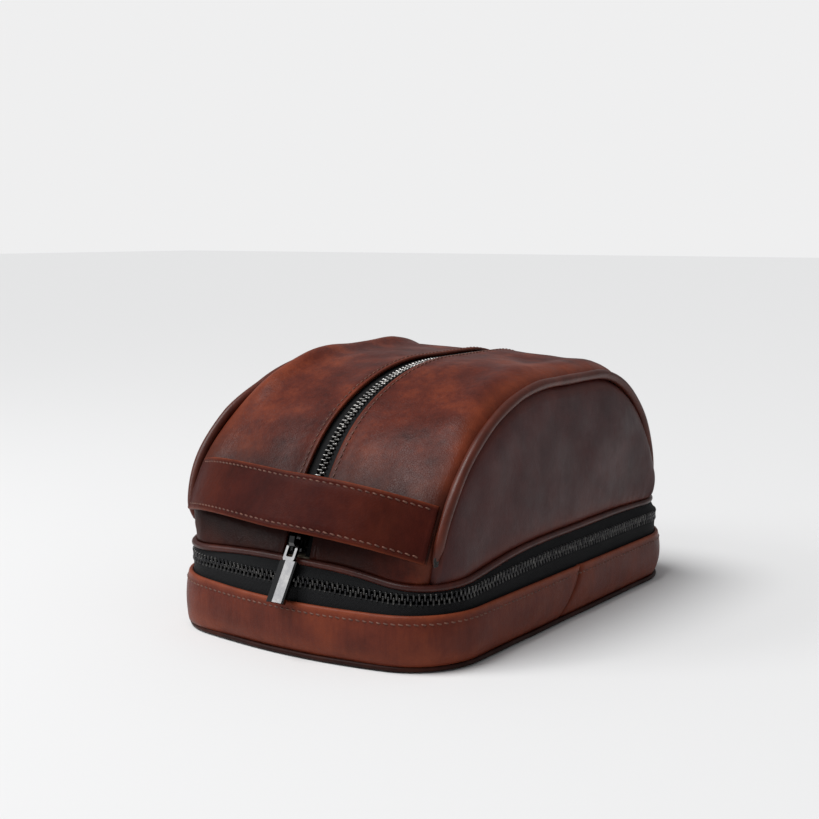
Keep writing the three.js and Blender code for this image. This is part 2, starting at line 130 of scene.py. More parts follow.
def lengths(points):
    """Running length along rows of points."""
    steps = np.linalg.norm(np.diff(points, axis=0), axis=-1)
    return np.concatenate([[0.0], np.cumsum(steps)])


def sweep(name, rings, closed=False, **marks):
    """A closed skin through rings of points, capped at both ends unless the path is closed."""
    rings = np.asarray(rings, float)
    count, around = rings.shape[:2]
    rows = np.arange(count if closed else count - 1)
    cols = np.arange(around)
    i, j = (a.ravel() for a in np.meshgrid(rows, cols, indexing="ij"))
    ni, nj = (i + 1) % count, (j + 1) % around
    faces = np.stack([i * around + j, ni * around + j, ni * around + nj, i * around + nj], 1)
    along = lengths(np.concatenate([rings, rings[:1]]).mean(1) if closed else rings.mean(1))
    middle = rings[count // 2]
    across = lengths(np.concatenate([middle, middle[:1]]))
    corner = [(along[i], across[j]), (along[i + 1], across[j]),
              (along[i + 1], across[j + 1]), (along[i], across[j + 1])]
    uvs = np.stack([np.stack(c, 1) for c in corner], 1).reshape(-1, 2)
    faces = faces.tolist()
    if not closed:
        last = (count - 1) * around
        faces += [list(range(around))[::-1], list(range(last, last + around))]
        flat = np.stack([across[:-1], np.zeros(around)], 1)
        uvs = np.concatenate([uvs, flat[::-1], flat])
    marks = {mark: np.broadcast_to(values, (count, around)) for mark, values in marks.items()}
    return face_out(new_object(name, rings.reshape(-1, 3), faces, uvs, marks))


def loop(outer, inner):
    """A ring that runs along the outer face of a skin and back along its inner face."""
    return np.concatenate([outer, inner[::-1]])


def tube(name, points, radius, sides=12, closed=False, up=(0, 0, 1), **marks):
    """A round tube through points, with its section square to the path."""
    points = np.asarray(points, float)
    if closed:
        tangent = np.roll(points, -1, 0) - np.roll(points, 1, 0)
    else:
        tangent = np.gradient(points, axis=0)
    tangent = unit(tangent)
    side = unit(np.cross(tangent, up))
    top = np.cross(side, tangent)
    angle = np.linspace(0, 2 * np.pi, sides, endpoint=False)
    radius = np.broadcast_to(radius, len(points))[:, None, None]
    ring = side[:, None] * np.cos(angle)[:, None] + top[:, None] * np.sin(angle)[:, None]
    return sweep(name, points[:, None] + radius * ring, closed, **marks)


def ripple(p, size, seed=0.0):
    """Smooth pseudo-random waves, about -1 to 1, with features about size millimetres across."""
    x, y, z = (p[..., k] * (2 * np.pi / size) for k in range(3))
    a = np.sin(1.00 * x + 0.63 * y + 0.31 * z + 1.3 + seed)
    b = np.sin(-0.57 * x + 0.91 * y + 0.44 * z + 4.1 + 2.3 * seed)
    c = np.sin(0.38 * x - 0.49 * y + 1.13 * z + 2.2 + 3.7 * seed)
    d = np.sin(1.41 * x + 1.27 * y - 0.83 * z + 0.7 + 5.1 * seed)
    return (a + b + c + 0.6 * d) / 2.6


def bump(value, middle, width):
    """A smooth bump, 1 at the middle and near 0 beyond twice the width."""
    return np.exp(-(((value - middle) / width) ** 2))


def unit(vectors):
    return vectors / np.linalg.norm(vectors, axis=-1, keepdims=True)


def follow(at, run, table):
    """The rows of a table of points, interpolated at distances along its run."""
    return np.stack([np.interp(at, run, column) for column in table.T], -1)


# ---- the tray's plan ----
def plan_table():
    """Points and outward directions round the tray, clockwise from the middle of the rear."""
    corner_x = TRAY_WIDTH / 2 - TRAY_CORNER
    rear_y = TRAY_LENGTH / 2 - TRAY_CORNER
    bow_y = FRONT_RADIUS - TRAY_LENGTH / 2
    front_y = bow_y - math.sqrt((FRONT_RADIUS - TRAY_CORNER) ** 2 - corner_x**2)
    turn = math.asin(corner_x / (FRONT_RADIUS - TRAY_CORNER))
    half, quarter = TRAY_WIDTH / 2, math.pi / 2

    def arc(x, y, radius, start, end):
        steps = max(8, int(abs(end - start) * radius / 0.8))
        a = np.linspace(start, end, steps)[:-1]
        out = np.stack([np.cos(a), np.sin(a)], 1)
        return np.array([x, y]) + radius * out, out

    def line(a, b, out):
        steps = max(2, int(np.hypot(b[0] - a[0], b[1] - a[1]) / 0.8))
        t = np.linspace(0, 1, steps)[:-1, None]
        return np.array(a) * (1 - t) + np.array(b) * t, np.tile(out, (len(t), 1))

    parts = [
        line((0, HALF_LENGTH), (corner_x, HALF_LENGTH), (0.0, 1.0)),
        arc(corner_x, rear_y, TRAY_CORNER, quarter, 0),
        line((half, rear_y), (half, front_y), (1.0, 0.0)),
        arc(corner_x, front_y, TRAY_CORNER, 0, turn - quarter),
        arc(0, bow_y, FRONT_RADIUS, turn - quarter, -turn - quarter),
        arc(-corner_x, front_y, TRAY_CORNER, -turn - quarter, -2 * quarter),
        line((-half, front_y), (-half, rear_y), (-1.0, 0.0)),
        arc(-corner_x, rear_y, TRAY_CORNER, 2 * quarter, quarter),
        line((-corner_x, HALF_LENGTH), (0, HALF_LENGTH), (0.0, 1.0)),
    ]
    points = np.concatenate([p for p, _ in parts])
    outs = np.concatenate([o for _, o in parts])
    return np.concatenate([points, points[:1]]), np.concatenate([outs, outs[:1]])


PLAN_POINTS, PLAN_OUTS = plan_table()
PLAN_RUN = lengths(PLAN_POINTS)
PERIMETER = PLAN_RUN[-1]


def plan(run, inset=0.0):
    """The plan point at a distance round the tray, and the outward direction there."""
    run = np.mod(run, PERIMETER)
    point = follow(run, PLAN_RUN, PLAN_POINTS)
    out = unit(follow(run, PLAN_RUN, PLAN_OUTS))
    return point - out * np.asarray(inset)[..., None], out


def run_at_side(y, side):
    """The distance round the tray of a point on its straight right or left side."""
    on_side = np.abs(PLAN_POINTS[:, 0] - side * TRAY_WIDTH / 2) < 0.05
    runs = PLAN_RUN[on_side]
    ys = PLAN_POINTS[on_side, 1]
    order = np.argsort(ys)
    return float(np.interp(y, ys[order], runs[order]))


CORNER_SIDE_IN, CORNER_END_IN = 12, 14  # a corner's middle, in from the tray's side and end


def front_corner(point, reach=30.0, back=None):
    """1 at the two front corners, falling to 0 away from them; back is the reach towards the rear."""
    dx = (np.abs(point[..., 0]) - (TRAY_WIDTH / 2 - CORNER_SIDE_IN)) / reach
    dy = point[..., 1] + TRAY_LENGTH / 2 - CORNER_END_IN
    dy = dy / np.where(dy > 0, reach if back is None else back, reach)
    return np.exp(-(dx**2) - dy**2)


def rear_corner(point, reach=26.0):
    """1 at the two rear corners, falling to 0 away from them."""
    return front_corner(point * [1, -1], reach)


def lift(point2, z):
    return np.concatenate([point2, np.broadcast_to(z, point2.shape[:-1])[..., None]], -1)


# ---- the dome ----
PIPING_DROOP = 7.0  # how far the piping round the body's base hangs at its front corners
PIPING_BULGE = 3.0  # and how far it bulges out there


def piping_line(run):
    """The piping round the body's base, which sags out and down at the front corners."""
    point, out = plan(run, PIPING_INSET)
    left = point[..., 0] < 0
    corner = front_corner(point, 32.0, np.where(left, 28.0, 62.0))
    bulge = np.where(left, 2.2, 1.0) * PIPING_BULGE * corner + 3.6 * rear_corner(point)
    droop = np.where(left, 0.35, 1.0) * PIPING_DROOP * corner
    z = PIPING_Z - droop + 0.25 * ripple(lift(point, 0), 70.0, 2.0)
    return lift(point + out * bulge[..., None], z), lift(out, np.zeros(out.shape[:-1]))


PIPING_POINTS, PIPING_OUTS = piping_line(PLAN_RUN)


def arch_table():
    start = math.pi - math.asin((BODY_Z - DOME_Z) / DOME_R)
    a = np.linspace(start, math.pi / 2, 160)
    front = np.stack([DOME_Y + DOME_R * np.cos(a), DOME_Z + DOME_R * np.sin(a)], 1)
    front_out = np.stack([np.cos(a), np.sin(a)], 1)
    b = np.linspace(math.pi / 2, 0, 120)
    rear = np.stack([REAR_Y + REAR_R * np.cos(b), REAR_Z + REAR_R * np.sin(b)], 1)
    rear_out = np.stack([np.cos(b), np.sin(b)], 1)
    foot = np.array([[REAR_Y + REAR_R, BODY_Z]])
    points = np.concatenate([front, rear, foot])
    outs = np.concatenate([front_out, rear_out, [[1.0, 0.0]]])
    return points, outs


ARCH_POINTS, ARCH_OUTS = arch_table()
ARCH_RUN = lengths(ARCH_POINTS)
ARCH_LENGTH = ARCH_RUN[-1]
RISE = DOME_Z + DOME_R - BODY_Z
CROWN_DROP_LEFT, CROWN_DROP_RIGHT = 0.0, 0.115
CROWN_BACK, CORNER_BACK = 0.035, 0.03
BASE_SPREAD, TOP_SPREAD = 0.045, -0.01
SETTLE_HEIGHT = 15.0  # below this height the dome bends over to meet that piping
LEFT_BULGE, LEFT_SINK = 9.0, 0.5  # the left side swells out and its top edge sinks
# How far each gusset swells out before it meets its side piping, where and how widely.
EDGE_PUFF = {-1: (4.0, 63.5, 7.0), 1: (3.6, 60.5, 11.0)}
STRAP_RUN = 58.0  # where the strap's ends press the gussets flat, along the dome's outline


def arch(run, depth=0.0):
    """A point of the dome's outline at a distance along it, sunk by depth: y and z."""
    point = follow(run, ARCH_RUN, ARCH_POINTS)
    out = unit(follow(run, ARCH_RUN, ARCH_OUTS))
    return point - out * np.asarray(depth)[..., None]


def crown(x, y, z):
    """The dome's change of shape, as in CAD, with more swell at its left and right edges."""
    x, y, z = np.broadcast_arrays(x, y, z)
    across = np.abs(x) / BODY_HALF
    height = z - BODY_Z
    spread = BASE_SPREAD + (TOP_SPREAD - BASE_SPREAD) * height / RISE
    drop = np.where(x < 0, CROWN_DROP_LEFT, CROWN_DROP_RIGHT)
    high = np.clip(height / RISE, 0, 1)
    left = np.where(x < 0, 1.0, 0.0)
    nx = x * (1 + spread) - left * LEFT_BULGE * across**3 * np.sin(np.pi * high**0.9)
    ny = y * (1 - CROWN_BACK * across**2 - CORNER_BACK * across**8)
    nz = BODY_Z + height * (1 - drop * across**2.6) - left * LEFT_SINK * across**5 * high
    return np.stack([nx, ny, nz], -1)


def settle(points, base):
    """Bends a column of the dome, whose foot is at base, down to the piping under it."""
    points, base = np.broadcast_arrays(points, base)
    flat = base.reshape(-1, 3)
    near = np.argmin(((flat[:, None, :2] - PIPING_POINTS[None, ::3, :2]) ** 2).sum(-1), axis=1) * 3
    target = PIPING_POINTS[near] - PIPING_OUTS[near] * 1.1 + np.array([0, 0, PIPING_R * 0.75])
    shift = (target - flat).reshape(base.shape)
    height = np.maximum(points[..., 2] - base[..., 2], 0)
    share = np.exp(-((height / SETTLE_HEIGHT) ** 1.3))
    return points + shift * share[..., None]


def wander(run):
    """The top zip strays a little: right at its front end, left, and right again near the crown."""
    return 2.3 * bump(run, 0.0, 34.0) - 1.2 * bump(run, 74.0, 26.0) + 1.7 * bump(run, 151.0, 34.0)


def dome(x, run, depth=0.0):
    """A point of the crowned dome: x across, run along its outline, depth below its skin."""
    x, run, depth = np.broadcast_arrays(x, run, depth)
    x = x + wander(run) * np.clip(1 - np.abs(x) / 50.0, 0, 1)
    yz = arch(run, depth)
    points = crown(x, yz[..., 0], yz[..., 1])
    foot = arch(np.where(run < ARCH_LENGTH / 2, 0.0, ARCH_LENGTH), 0.0 * run)
    base = crown(x, foot[..., 0], foot[..., 1])
    return settle(points, base)


# ---- materials ----
class Nodes:
    """A short way to write a material's node tree."""

    def __init__(self, name):
        self.material = bpy.data.materials.new(name)
        self.material.use_nodes = True
        self.tree = self.material.node_tree
        self.tree.nodes.clear()
        self.output = self.tree.nodes.new("ShaderNodeOutputMaterial")
        self.shader = self.add("ShaderNodeBsdfPrincipled")
        self.link(self.shader, "BSDF", self.output, "Surface")

    def add(self, kind, **values):
        node = self.tree.nodes.new(kind)
        for key, value in values.items():
            if key in node.inputs:
                node.inputs[key].default_value = value
            else:
                setattr(node, key, value)
        return node

    def link(self, a, out, b, into):
        self.tree.links.new(a.outputs[out], b.inputs[into])

    def place(self, scale=(1, 1, 1), kind="Object"):
        if kind == "Cut":
            source = self.add("ShaderNodeUVMap", uv_map="Cut")
            out = "UV"
        else:
            source = self.add("ShaderNodeTexCoord")
            out = "Object"
        mapping = self.add("ShaderNodeMapping")
        mapping.inputs["Scale"].default_value = scale
        self.link(source, out, mapping, "Vector")
        return mapping

    def noise(self, size_mm, stretch=(1, 1, 1), detail=3.0, rough=0.55, warp=0.0):
        at = self.place([1000 * s / size_mm for s in stretch])
        node = self.add("ShaderNodeTexNoise", Scale=1.0, Detail=detail, Roughness=rough, Distortion=warp)
        self.link(at, "Vector", node, "Vector")
        return node

    def cells(self, size_mm):
        at = self.place((1000 / size_mm,) * 3)
        node = self.add("ShaderNodeTexVoronoi", feature="DISTANCE_TO_EDGE", Scale=1.0)
        self.link(at, "Vector", node, "Vector")
        return node

    def ramp(self, source, out, stops):
        node = self.add("ShaderNodeValToRGB")
        ramp = node.color_ramp
        while len(ramp.elements) < len(stops):
            ramp.elements.new(0.5)
        for element, (position, colour) in zip(ramp.elements, stops):
            element.position = position
            if not hasattr(colour, "__len__"):
                colour = (colour,) * 3
            element.color = (*colour, 1.0)
        self.link(source, out, node, "Fac")
        return node

    def drive(self, socket, source, out, stops):
        """Drives one of the shader's sockets by a ramp over a texture."""
        self.link(self.ramp(source, out, stops), 0, self.shader, socket)

    def math(self, operation, a, b):
        """A math node; each of a and b is a (node, output) pair or a plain number."""
        node = self.add("ShaderNodeMath", operation=operation)
        for index, value in enumerate((a, b)):
            if isinstance(value, tuple):
                self.tree.links.new(value[0].outputs[value[1]], node.inputs[index])
            else:
                node.inputs[index].default_value = value
        return node

    def mix(self, blend, factor, a, b):
        """Mixes two colours; each is an (node, output) pair or a plain colour."""
        node = self.add("ShaderNodeMix", data_type="RGBA", blend_type=blend)
        for index, value in ((0, factor), (6, a), (7, b)):
            if isinstance(value, tuple) and hasattr(value[0], "outputs"):
                self.tree.links.new(value[0].outputs[value[1]], node.inputs[index])
            elif index == 0:
                node.inputs[0].default_value = value
            else:
                node.inputs[index].default_value = (*value, 1.0)
        return node

    def bumps(self, *layers):
        """Chained bumps; each layer is a node, its output, a height in mm and a strength."""
        previous = None
        for source, out, height, strength in layers:
            node = self.add("ShaderNodeBump", Strength=strength, Distance=height * MM)
            self.link(source, out, node, "Height")
            if previous:
                self.link(previous, "Normal", node, "Normal")
            previous = node
        self.link(previous, "Normal", self.shader, "Normal")


UNDER_STRAP_SHADE = (0.012, 0.0035, 0.003)  # painted shade: the near-black brown that the dark mark paints on the gussets under the strap


def leather(name, dark, middle, light, edge, streaks=0.25, shine=0.42, grain=1.0, gloss=0.12):
    """Waxed pull-up leather: blotches, drawn grain, pores, lighter burnished edges, and painted shade where
    the dark mark is set.
    """
    n = Nodes(name)
    blotch = n.noise(46, detail=5, rough=0.6, warp=0.6)
    cloud = n.noise(14, detail=4, rough=0.6)
    grain_lines = n.noise(2.2, (1, 1, 0.10), detail=3, rough=0.6)
    blend = n.math("ADD", (n.math("MULTIPLY", (blotch, "Fac"), 0.62), 0),
                   (n.math("MULTIPLY", (cloud, "Fac"), 0.38), 0))
    lines = n.math("MULTIPLY", (n.math("SUBTRACT", (grain_lines, "Fac"), 0.5), 0), streaks)
    blend = n.math("ADD", (blend, 0), (lines, 0))
    base = n.ramp(blend, 0, [(0.34, dark), (0.5, middle), (0.68, light)])
    worn = n.add("ShaderNodeAttribute", attribute_name="wear")
    rub = n.noise(9, detail=4, rough=0.65)
    rubbed = n.math("MULTIPLY", (worn, "Fac"), (n.ramp(rub, "Fac", [(0.25, 0.35), (0.7, 1.0)]), 0))
    colour = n.mix("MIX", (rubbed, 0), (base, 0), edge)
    # painted shade: the dark mark pulls the colour towards the painted shade colour
    painted_shade = n.add("ShaderNodeAttribute", attribute_name="dark")
    colour = n.mix("MIX", (painted_shade, "Fac"), (colour, 2), UNDER_STRAP_SHADE)
    n.link(colour, 2, n.shader, "Base Color")
    smudge = n.noise(20, detail=4, rough=0.65)
    n.drive("Roughness", smudge, "Fac", [(0.3, shine - 0.06), (0.72, shine + 0.12)])
    pores = n.cells(1.15)
    pore_height = n.ramp(pores, "Distance", [(0.0, 0.0), (0.16, 1.0)])
    fine = n.noise(0.5, detail=2)
    creases = n.noise(7, (1, 1, 0.7), detail=5, rough=0.62, warp=0.8)
    n.bumps((creases, "Fac", 0.5 * grain, 0.5), (pore_height, 0, 0.09 * grain, 0.45),
            (fine, "Fac", 0.06, 0.35))
    n.shader.inputs["Specular IOR Level"].default_value = gloss
    return n.material


def woven(name, colour, lighter, pitch, depth=0.12, rough=0.78, sheen=0.25):
    """Woven cloth laid along the piece's own cut, in ribs pitch millimetres apart."""
    n = Nodes(name)
    at = n.place((1000 / pitch,) * 3, "Cut")
    across = n.add("ShaderNodeTexWave", wave_type="BANDS", bands_direction="DIAGONAL",
                   Scale=0.5, Distortion=0.4, Detail=1.0)
    n.link(at, "Vector", across, "Vector")
    along = n.add("ShaderNodeTexWave", wave_type="BANDS", bands_direction="Y", Scale=0.5, Distortion=0.3)
    n.link(at, "Vector", along, "Vector")
    weave = n.math("MULTIPLY", (across, "Fac"), (along, "Fac"))
    patch = n.noise(9, detail=3)
    tone = n.math("ADD", (n.math("MULTIPLY", (weave, 0), 0.75), 0),
                  (n.math("MULTIPLY", (patch, "Fac"), 0.25), 0))
    n.drive("Base Color", tone, 0, [(0.1, colour), (0.8, lighter)])
    lint = n.noise(0.3, detail=2)
    n.drive("Roughness", lint, "Fac", [(0.3, rough - 0.08), (0.7, rough + 0.08)])
    n.bumps((weave, 0, depth, 0.8), (lint, "Fac", 0.05, 0.4))
    n.shader.inputs["Specular IOR Level"].default_value = 0.22
    n.shader.inputs["Sheen Weight"].default_value = sheen
    n.shader.inputs["Sheen Roughness"].default_value = 0.5
    return n.material


def metal(name, colour, worn_colour, rough=0.2):
    """Plated metal with faint scratches and slightly brighter rubbed places."""
    n = Nodes(name)
    rub = n.noise(3.5, detail=5, rough=0.7)
    n.drive("Base Color", rub, "Fac", [(0.42, colour), (0.75, worn_colour)])
    scratch = n.noise(0.35, (1, 1, 0.08), detail=3)
    n.drive("Roughness", scratch, "Fac", [(0.35, rough * 0.8), (0.7, rough * 1.3)])
    n.bumps((scratch, "Fac", 0.01, 0.12))
    n.shader.inputs["Metallic"].default_value = 1.0
    return n.material


def thread(name, colour, lighter):
    """Twisted sewing thread."""
    n = Nodes(name)
    tone = n.noise(1.6, detail=2)
    n.drive("Base Color", tone, "Fac", [(0.35, colour), (0.65, lighter)])
    ply = n.noise(0.35, (1, 1, 0.4), detail=1)
    n.drive("Roughness", ply, "Fac", [(0.3, 0.5), (0.7, 0.68)])
    n.bumps((ply, "Fac", 0.12, 0.7))
    return n.material


def board(name):
    """Grey-brown fibreboard."""
    n = Nodes(name)
    fibre = n.noise(1.5, (1, 0.15, 1), detail=4)
    n.drive("Base Color", fibre, "Fac", [(0.3, (0.2, 0.15, 0.1)), (0.7, (0.36, 0.3, 0.22))])
    n.drive("Roughness", fibre, "Fac", [(0.3, 0.82), (0.7, 0.95)])
    n.bumps((fibre, "Fac", 0.1, 0.5))
    return n.material


EDGE = (0.24, 0.052, 0.02)  # burnished edges
LEATHER_TOP = leather("leather_top", (0.038, 0.0065, 0.0045), (0.095, 0.0165, 0.0085),
    (0.205, 0.04, 0.0145), EDGE, 0.16, 0.34, gloss=0.13)
LEATHER_BAND = leather("leather_band", (0.058, 0.0112, 0.0075), (0.098, 0.0185, 0.0105),
    (0.155, 0.031, 0.0135), EDGE, 0.22, 0.42, gloss=0.15)
LEATHER_SIDE = leather("leather_side", (0.031, 0.0058, 0.0062), (0.046, 0.0078, 0.0076),
    (0.066, 0.0108, 0.009), EDGE, 0.08, 0.42, 0.6, gloss=0.27)
LEATHER_STRAP = leather("leather_strap", (0.027, 0.0045, 0.0033), (0.043, 0.0068, 0.0046),
    (0.066, 0.011, 0.0062), EDGE, 0.2, 0.42, gloss=0.06)
LEATHER_PIPING = leather("leather_piping", (0.028, 0.0062, 0.0045), (0.048, 0.0102, 0.0072),
    (0.088, 0.02, 0.012), EDGE, 0.2, 0.34, 0.5, gloss=0.28)
LEATHER_WELT = leather("leather_welt", (0.012, 0.003, 0.0025), (0.024, 0.006, 0.004),
    (0.045, 0.011, 0.006), EDGE, 0.2, 0.5, 0.5)
TAPE = woven("zip_tape", (0.0018, 0.002, 0.0024), (0.0105, 0.0112, 0.013), 1.0, depth=0.2, sheen=0.0)
LINING = woven("twill_lining", (0.014, 0.0125, 0.012), (0.04, 0.036, 0.034), 0.6, depth=0.06, rough=0.82)
GUNMETAL = metal("gunmetal", (0.075, 0.075, 0.077), (0.11, 0.109, 0.107), 0.07)
TEETH_DARK = metal("teeth_black_nickel", (0.025, 0.025, 0.027), (0.13, 0.127, 0.12), 0.3)
TEETH_BRIGHT = metal("teeth_nickel", (0.09, 0.088, 0.085), (0.42, 0.41, 0.39), 0.26)
THREAD = thread("thread", (0.07, 0.022, 0.013), (0.16, 0.06, 0.035))
BOARD = board("fibreboard")


def dress(obj, material, body, slot, *replaced):
    """Gives a piece its material and body, and hides the CAD nodes that it stands for; slot is not used."""
    obj.data.materials.clear()
    obj.data.materials.append(material)
    if body:
        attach(obj, body)
    if replaced:
        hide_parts(*replaced)
    return obj


# ---- stitches ----
STITCH_PITCH, STITCH_LENGTH, STITCH_R = 3.5, 2.7, 0.4
STITCH_LEAN = 0.18  # each stitch lies a little across its row


def stitches(name, points, outs, body):
    """A row of separate thread stitches along points, lying in the skin that faces outs."""
    points, outs = np.asarray(points, float), np.asarray(outs, float)
    run = lengths(points)
    count = int(run[-1] / STITCH_PITCH)
    at = (np.arange(count) + 0.5) * run[-1] / count
    spots = follow(at, run, points)
    tangent = unit(follow(at + 0.4, run, points) - follow(at - 0.4, run, points))
    out = follow(at, run, outs)
    out = unit(out - tangent * (out * tangent).sum(1)[:, None])
    direction = unit(tangent + STITCH_LEAN * np.cross(tangent, out))
    side = np.cross(direction, out)
    t = np.array([-1.0, -0.8, -0.35, 0.35, 0.8, 1.0])
    swell = np.array([0.45, 0.85, 1.0, 1.0, 0.85, 0.45]) * STITCH_R
    sink = np.array([-0.42, -0.12, 0.12, 0.12, -0.12, -0.42])
    angle = np.linspace(0, 2 * np.pi, 6, endpoint=False)
    ring_side, ring_out = np.cos(angle), np.sin(angle)
    centre = (spots[:, None] + direction[:, None] * (t * STITCH_LENGTH / 2)[:, None]
              + out[:, None] * sink[:, None])
    ring = (side[:, None, None] * ring_side[:, None] + out[:, None, None] * ring_out[:, None])
    verts = centre[:, :, None] + ring * swell[:, None, None]
    return many(name, verts, THREAD, body, "leather")


def many(name, verts, material, body, slot, *replaced):
    """One object of many equal closed skins: verts is (copies, rings, points round, 3)."""
    copies, rows, around = verts.shape[:3]
    i, j = (a.ravel() for a in np.meshgrid(np.arange(rows - 1), np.arange(around), indexing="ij"))
    nj = (j + 1) % around
    quads = np.stack([i * around + j, i * around + nj, (i + 1) * around + nj, (i + 1) * around + j], 1)
    last = (rows - 1) * around
    ends = [list(range(around)), list(range(last, last + around))[::-1]]
    faces = []
    size = rows * around
    for c in range(copies):
        faces += (quads + c * size).tolist()
        faces += [[v + c * size for v in end] for end in ends]
    obj = new_object(name, verts.reshape(-1, 3), faces)
    face_out(obj)
    return dress(obj, material, body, slot, *replaced)


# ---- zip teeth ----
# A tooth's sections from its head to its root: distance from the chain's centre line,
# half width along the chain and half thickness.
TOOTH_SECTIONS = ((-0.75, 0.30, 0.45), (-0.35, 0.58, 0.85), (0.55, 0.62, 0.95), (1.05, 0.50, 0.90),
                  (1.6, 0.62, 1.12), (2.5, 0.64, 1.15), (2.85, 0.42, 0.85))


def tooth_row(name, centres, alongs, sides, outs, material, body, *replaced):
    """Teeth at centres on the chain's centre line, reaching out towards sides."""
    angle = np.linspace(0, 2 * np.pi, 8, endpoint=False) + np.pi / 8
    square = 1.0 / np.maximum(np.abs(np.cos(angle)), np.abs(np.sin(angle))) ** 0.75
    rings = []
    for reach, half_width, half_thick in TOOTH_SECTIONS:
        along = alongs[:, None] * (np.cos(angle) * square * half_width)[:, None]
        out = outs[:, None] * (np.sin(angle) * square * half_thick)[:, None]
        rings.append(centres[:, None] + sides[:, None] * reach + along + out)
    return many(name, np.stack(rings, 1), material, body, "zip_teeth", *replaced)


# ---- tray ----
SEAM_SLOPE = 0.75  # the side seams lean forward towards the base
BULGE = 1.5  # how far the band swells between its edges
TOPSTITCH_DOWN = 3.4  # the band's stitches lie this far below its top edge


def band_top(point):
    """The band's top edge, a little below its CAD height except at the front left."""
    return BAND_TOP - 2.0 + 1.7 * front_corner(point, 44.0) * (point[..., 0] < 0)


def tray_skin(run, height, depth=0.0):
    """A point of the band's skin: height 0 at its base to 1 at its top edge."""
    point, out = plan(run)
    corner = front_corner(point, 30.0)
    left = np.where(point[..., 0] < 0, 1.0, 0.35)
    tuck = 1.6 * (1 - 0.9 * corner * (point[..., 0] < 0))
    swell = BULGE * np.sin(np.pi * height) ** 0.8 - tuck * (1 - height) ** 4
    swell = swell + 2.4 * corner * left * (1 - 0.5 * height)
    z = BAND_BASE + (band_top(point) - BAND_BASE) * height
    place = lift(point, z)
    swell = swell + 0.45 * ripple(place, 58.0) * np.sin(np.pi * height)
    return lift(point + out * (swell - depth)[..., None], z), lift(out, np.zeros(out.shape[:-1]))


def band_piece(name, start, end, *replaced):
    """A length of the tray's leather band with a turned top edge and seams at its ends."""
    runs = np.linspace(start, end, int((end - start) / 2.2))
    heights = np.concatenate([np.linspace(0, 0.9, 16), [0.94, 0.97, 0.99]])
    seam = np.maximum(bump(runs, start, 1.6), bump(runs, end, 1.6))
    lean = np.maximum(bump(runs, start, 26.0), bump(runs, end, 26.0))
    rings, wear = [], []
    for run, valley, skew in zip(runs, seam, lean):
        forward = 1.0 if run % PERIMETER < PERIMETER / 2 else -1.0
        shift = forward * SEAM_SLOPE * skew * (0.5 - heights) * (BAND_TOP - BAND_BASE)
        groove = 0.28 * bump(heights * (BAND_TOP - BAND_BASE), BAND_TOP - BAND_BASE - TOPSTITCH_DOWN, 0.6)
        outer, out = tray_skin(run + shift, heights, valley * 0.9 + groove)
        fold = 2.3 - 0.5 * bump(heights, 0.0, 0.8)
        inner = outer - out * fold[:, None]
        lip = [outer[-1] - out[-1] * 0.35 + [0, 0, 0.55], outer[-1] - out[-1] * 1.15 + [0, 0, 0.85],
               outer[-1] - out[-1] * 1.95 + [0, 0, 0.5]]
        rings.append(np.concatenate([outer, lip, inner[::-1]]))
        rub = 0.10 + 0.75 * bump(heights, 1.0, 0.06) + 0.35 * bump(heights, 0.12, 0.16)
        wear.append(np.concatenate([rub, [0.95, 0.8, 0.5], np.zeros(len(inner))]))
    return dress(sweep(name, rings, wear=wear), LEATHER_BAND, "tray", "leather", *replaced)


def build_tray():
    right, left = run_at_side(SEAM_Y, 1), run_at_side(SEAM_Y, -1)
    band_piece("tray_band_front", right + 0.12, left - 0.12, "tray_wall_front")
    band_piece("tray_band_rear", left - PERIMETER + 0.12, right - 0.12, "tray_wall_rear")
    for name, start, end in (("front", right + 2, left - 2), ("rear", left - PERIMETER + 2, right - 2)):
        runs = np.linspace(start, end, int((end - start) / 2.0))
        height = 1 - TOPSTITCH_DOWN / (BAND_TOP - BAND_BASE)
        spots, outs = tray_skin(runs, np.full(len(runs), height), np.full(len(runs), 0.12))
        stitches(f"tray_stitches_{name}", spots, outs, "tray")
    runs = np.linspace(0, PERIMETER, 380, endpoint=False)
    point, out = plan(runs, 1.5)
    point = point + out * (1.9 * front_corner(point) * (point[:, 0] < 0))[:, None]
    z = 1.75 + 0.12 * ripple(lift(point, 0), 40.0)
    welt = tube("tray_base_welt", lift(point, z), 1.25, 10, closed=True)
    dress(welt, LEATHER_WELT, "tray", "leather_dark", "base_piping")
    build_tray_lining()
    low, high = cad("base_panel")
    inset = BAND_HIGH[0] - high[0]
    panel = soft_plate("tray_base_leather", inset, low[2] + 0.12, high[2] - low[2] - 0.24, 0.1, 34.0)
    dress(panel, LEATHER_WELT, "tray", "leather", "base_panel")
    for node in ("base_stiffener", "tray_wall_stiffener"):
        paint(node, BOARD)


def paint(node, material):
    """Gives a CAD node that stays a better material."""
    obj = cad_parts[node]
    obj.data.materials.clear()
    obj.data.materials.append(material)


def build_tray_lining():
    """Cloth lining: walls that puff a little between the base and the zip, and a floor."""
    low, high = cad("tray_lining")
    inset = 5.9
    runs = np.linspace(0, PERIMETER, 220, endpoint=False)
    heights = np.linspace(0, 1, 9)
    rings = []
    for run in runs:
        point, out = plan(np.full(len(heights), run), inset)
        puff = 0.5 * np.sin(np.pi * heights) + 0.4 * ripple(lift(point, heights * 20), 22.0)
        z = low[2] + 0.5 + heights * (high[2] - low[2] - 0.5)
        wall = lift(point - out * puff[:, None], z)
        back = wall + lift(out, np.zeros(len(out))) * 0.7
        rings.append(loop(wall, back))
    walls = sweep("tray_lining_wall", rings, closed=True)
    dress(walls, LINING, "tray", "lining", "tray_lining")
    floor = soft_plate("tray_lining_floor", inset + 0.9, low[2] + 0.05, 0.8, 0.5, 30.0)
    dress(floor, LINING, "tray", "lining")


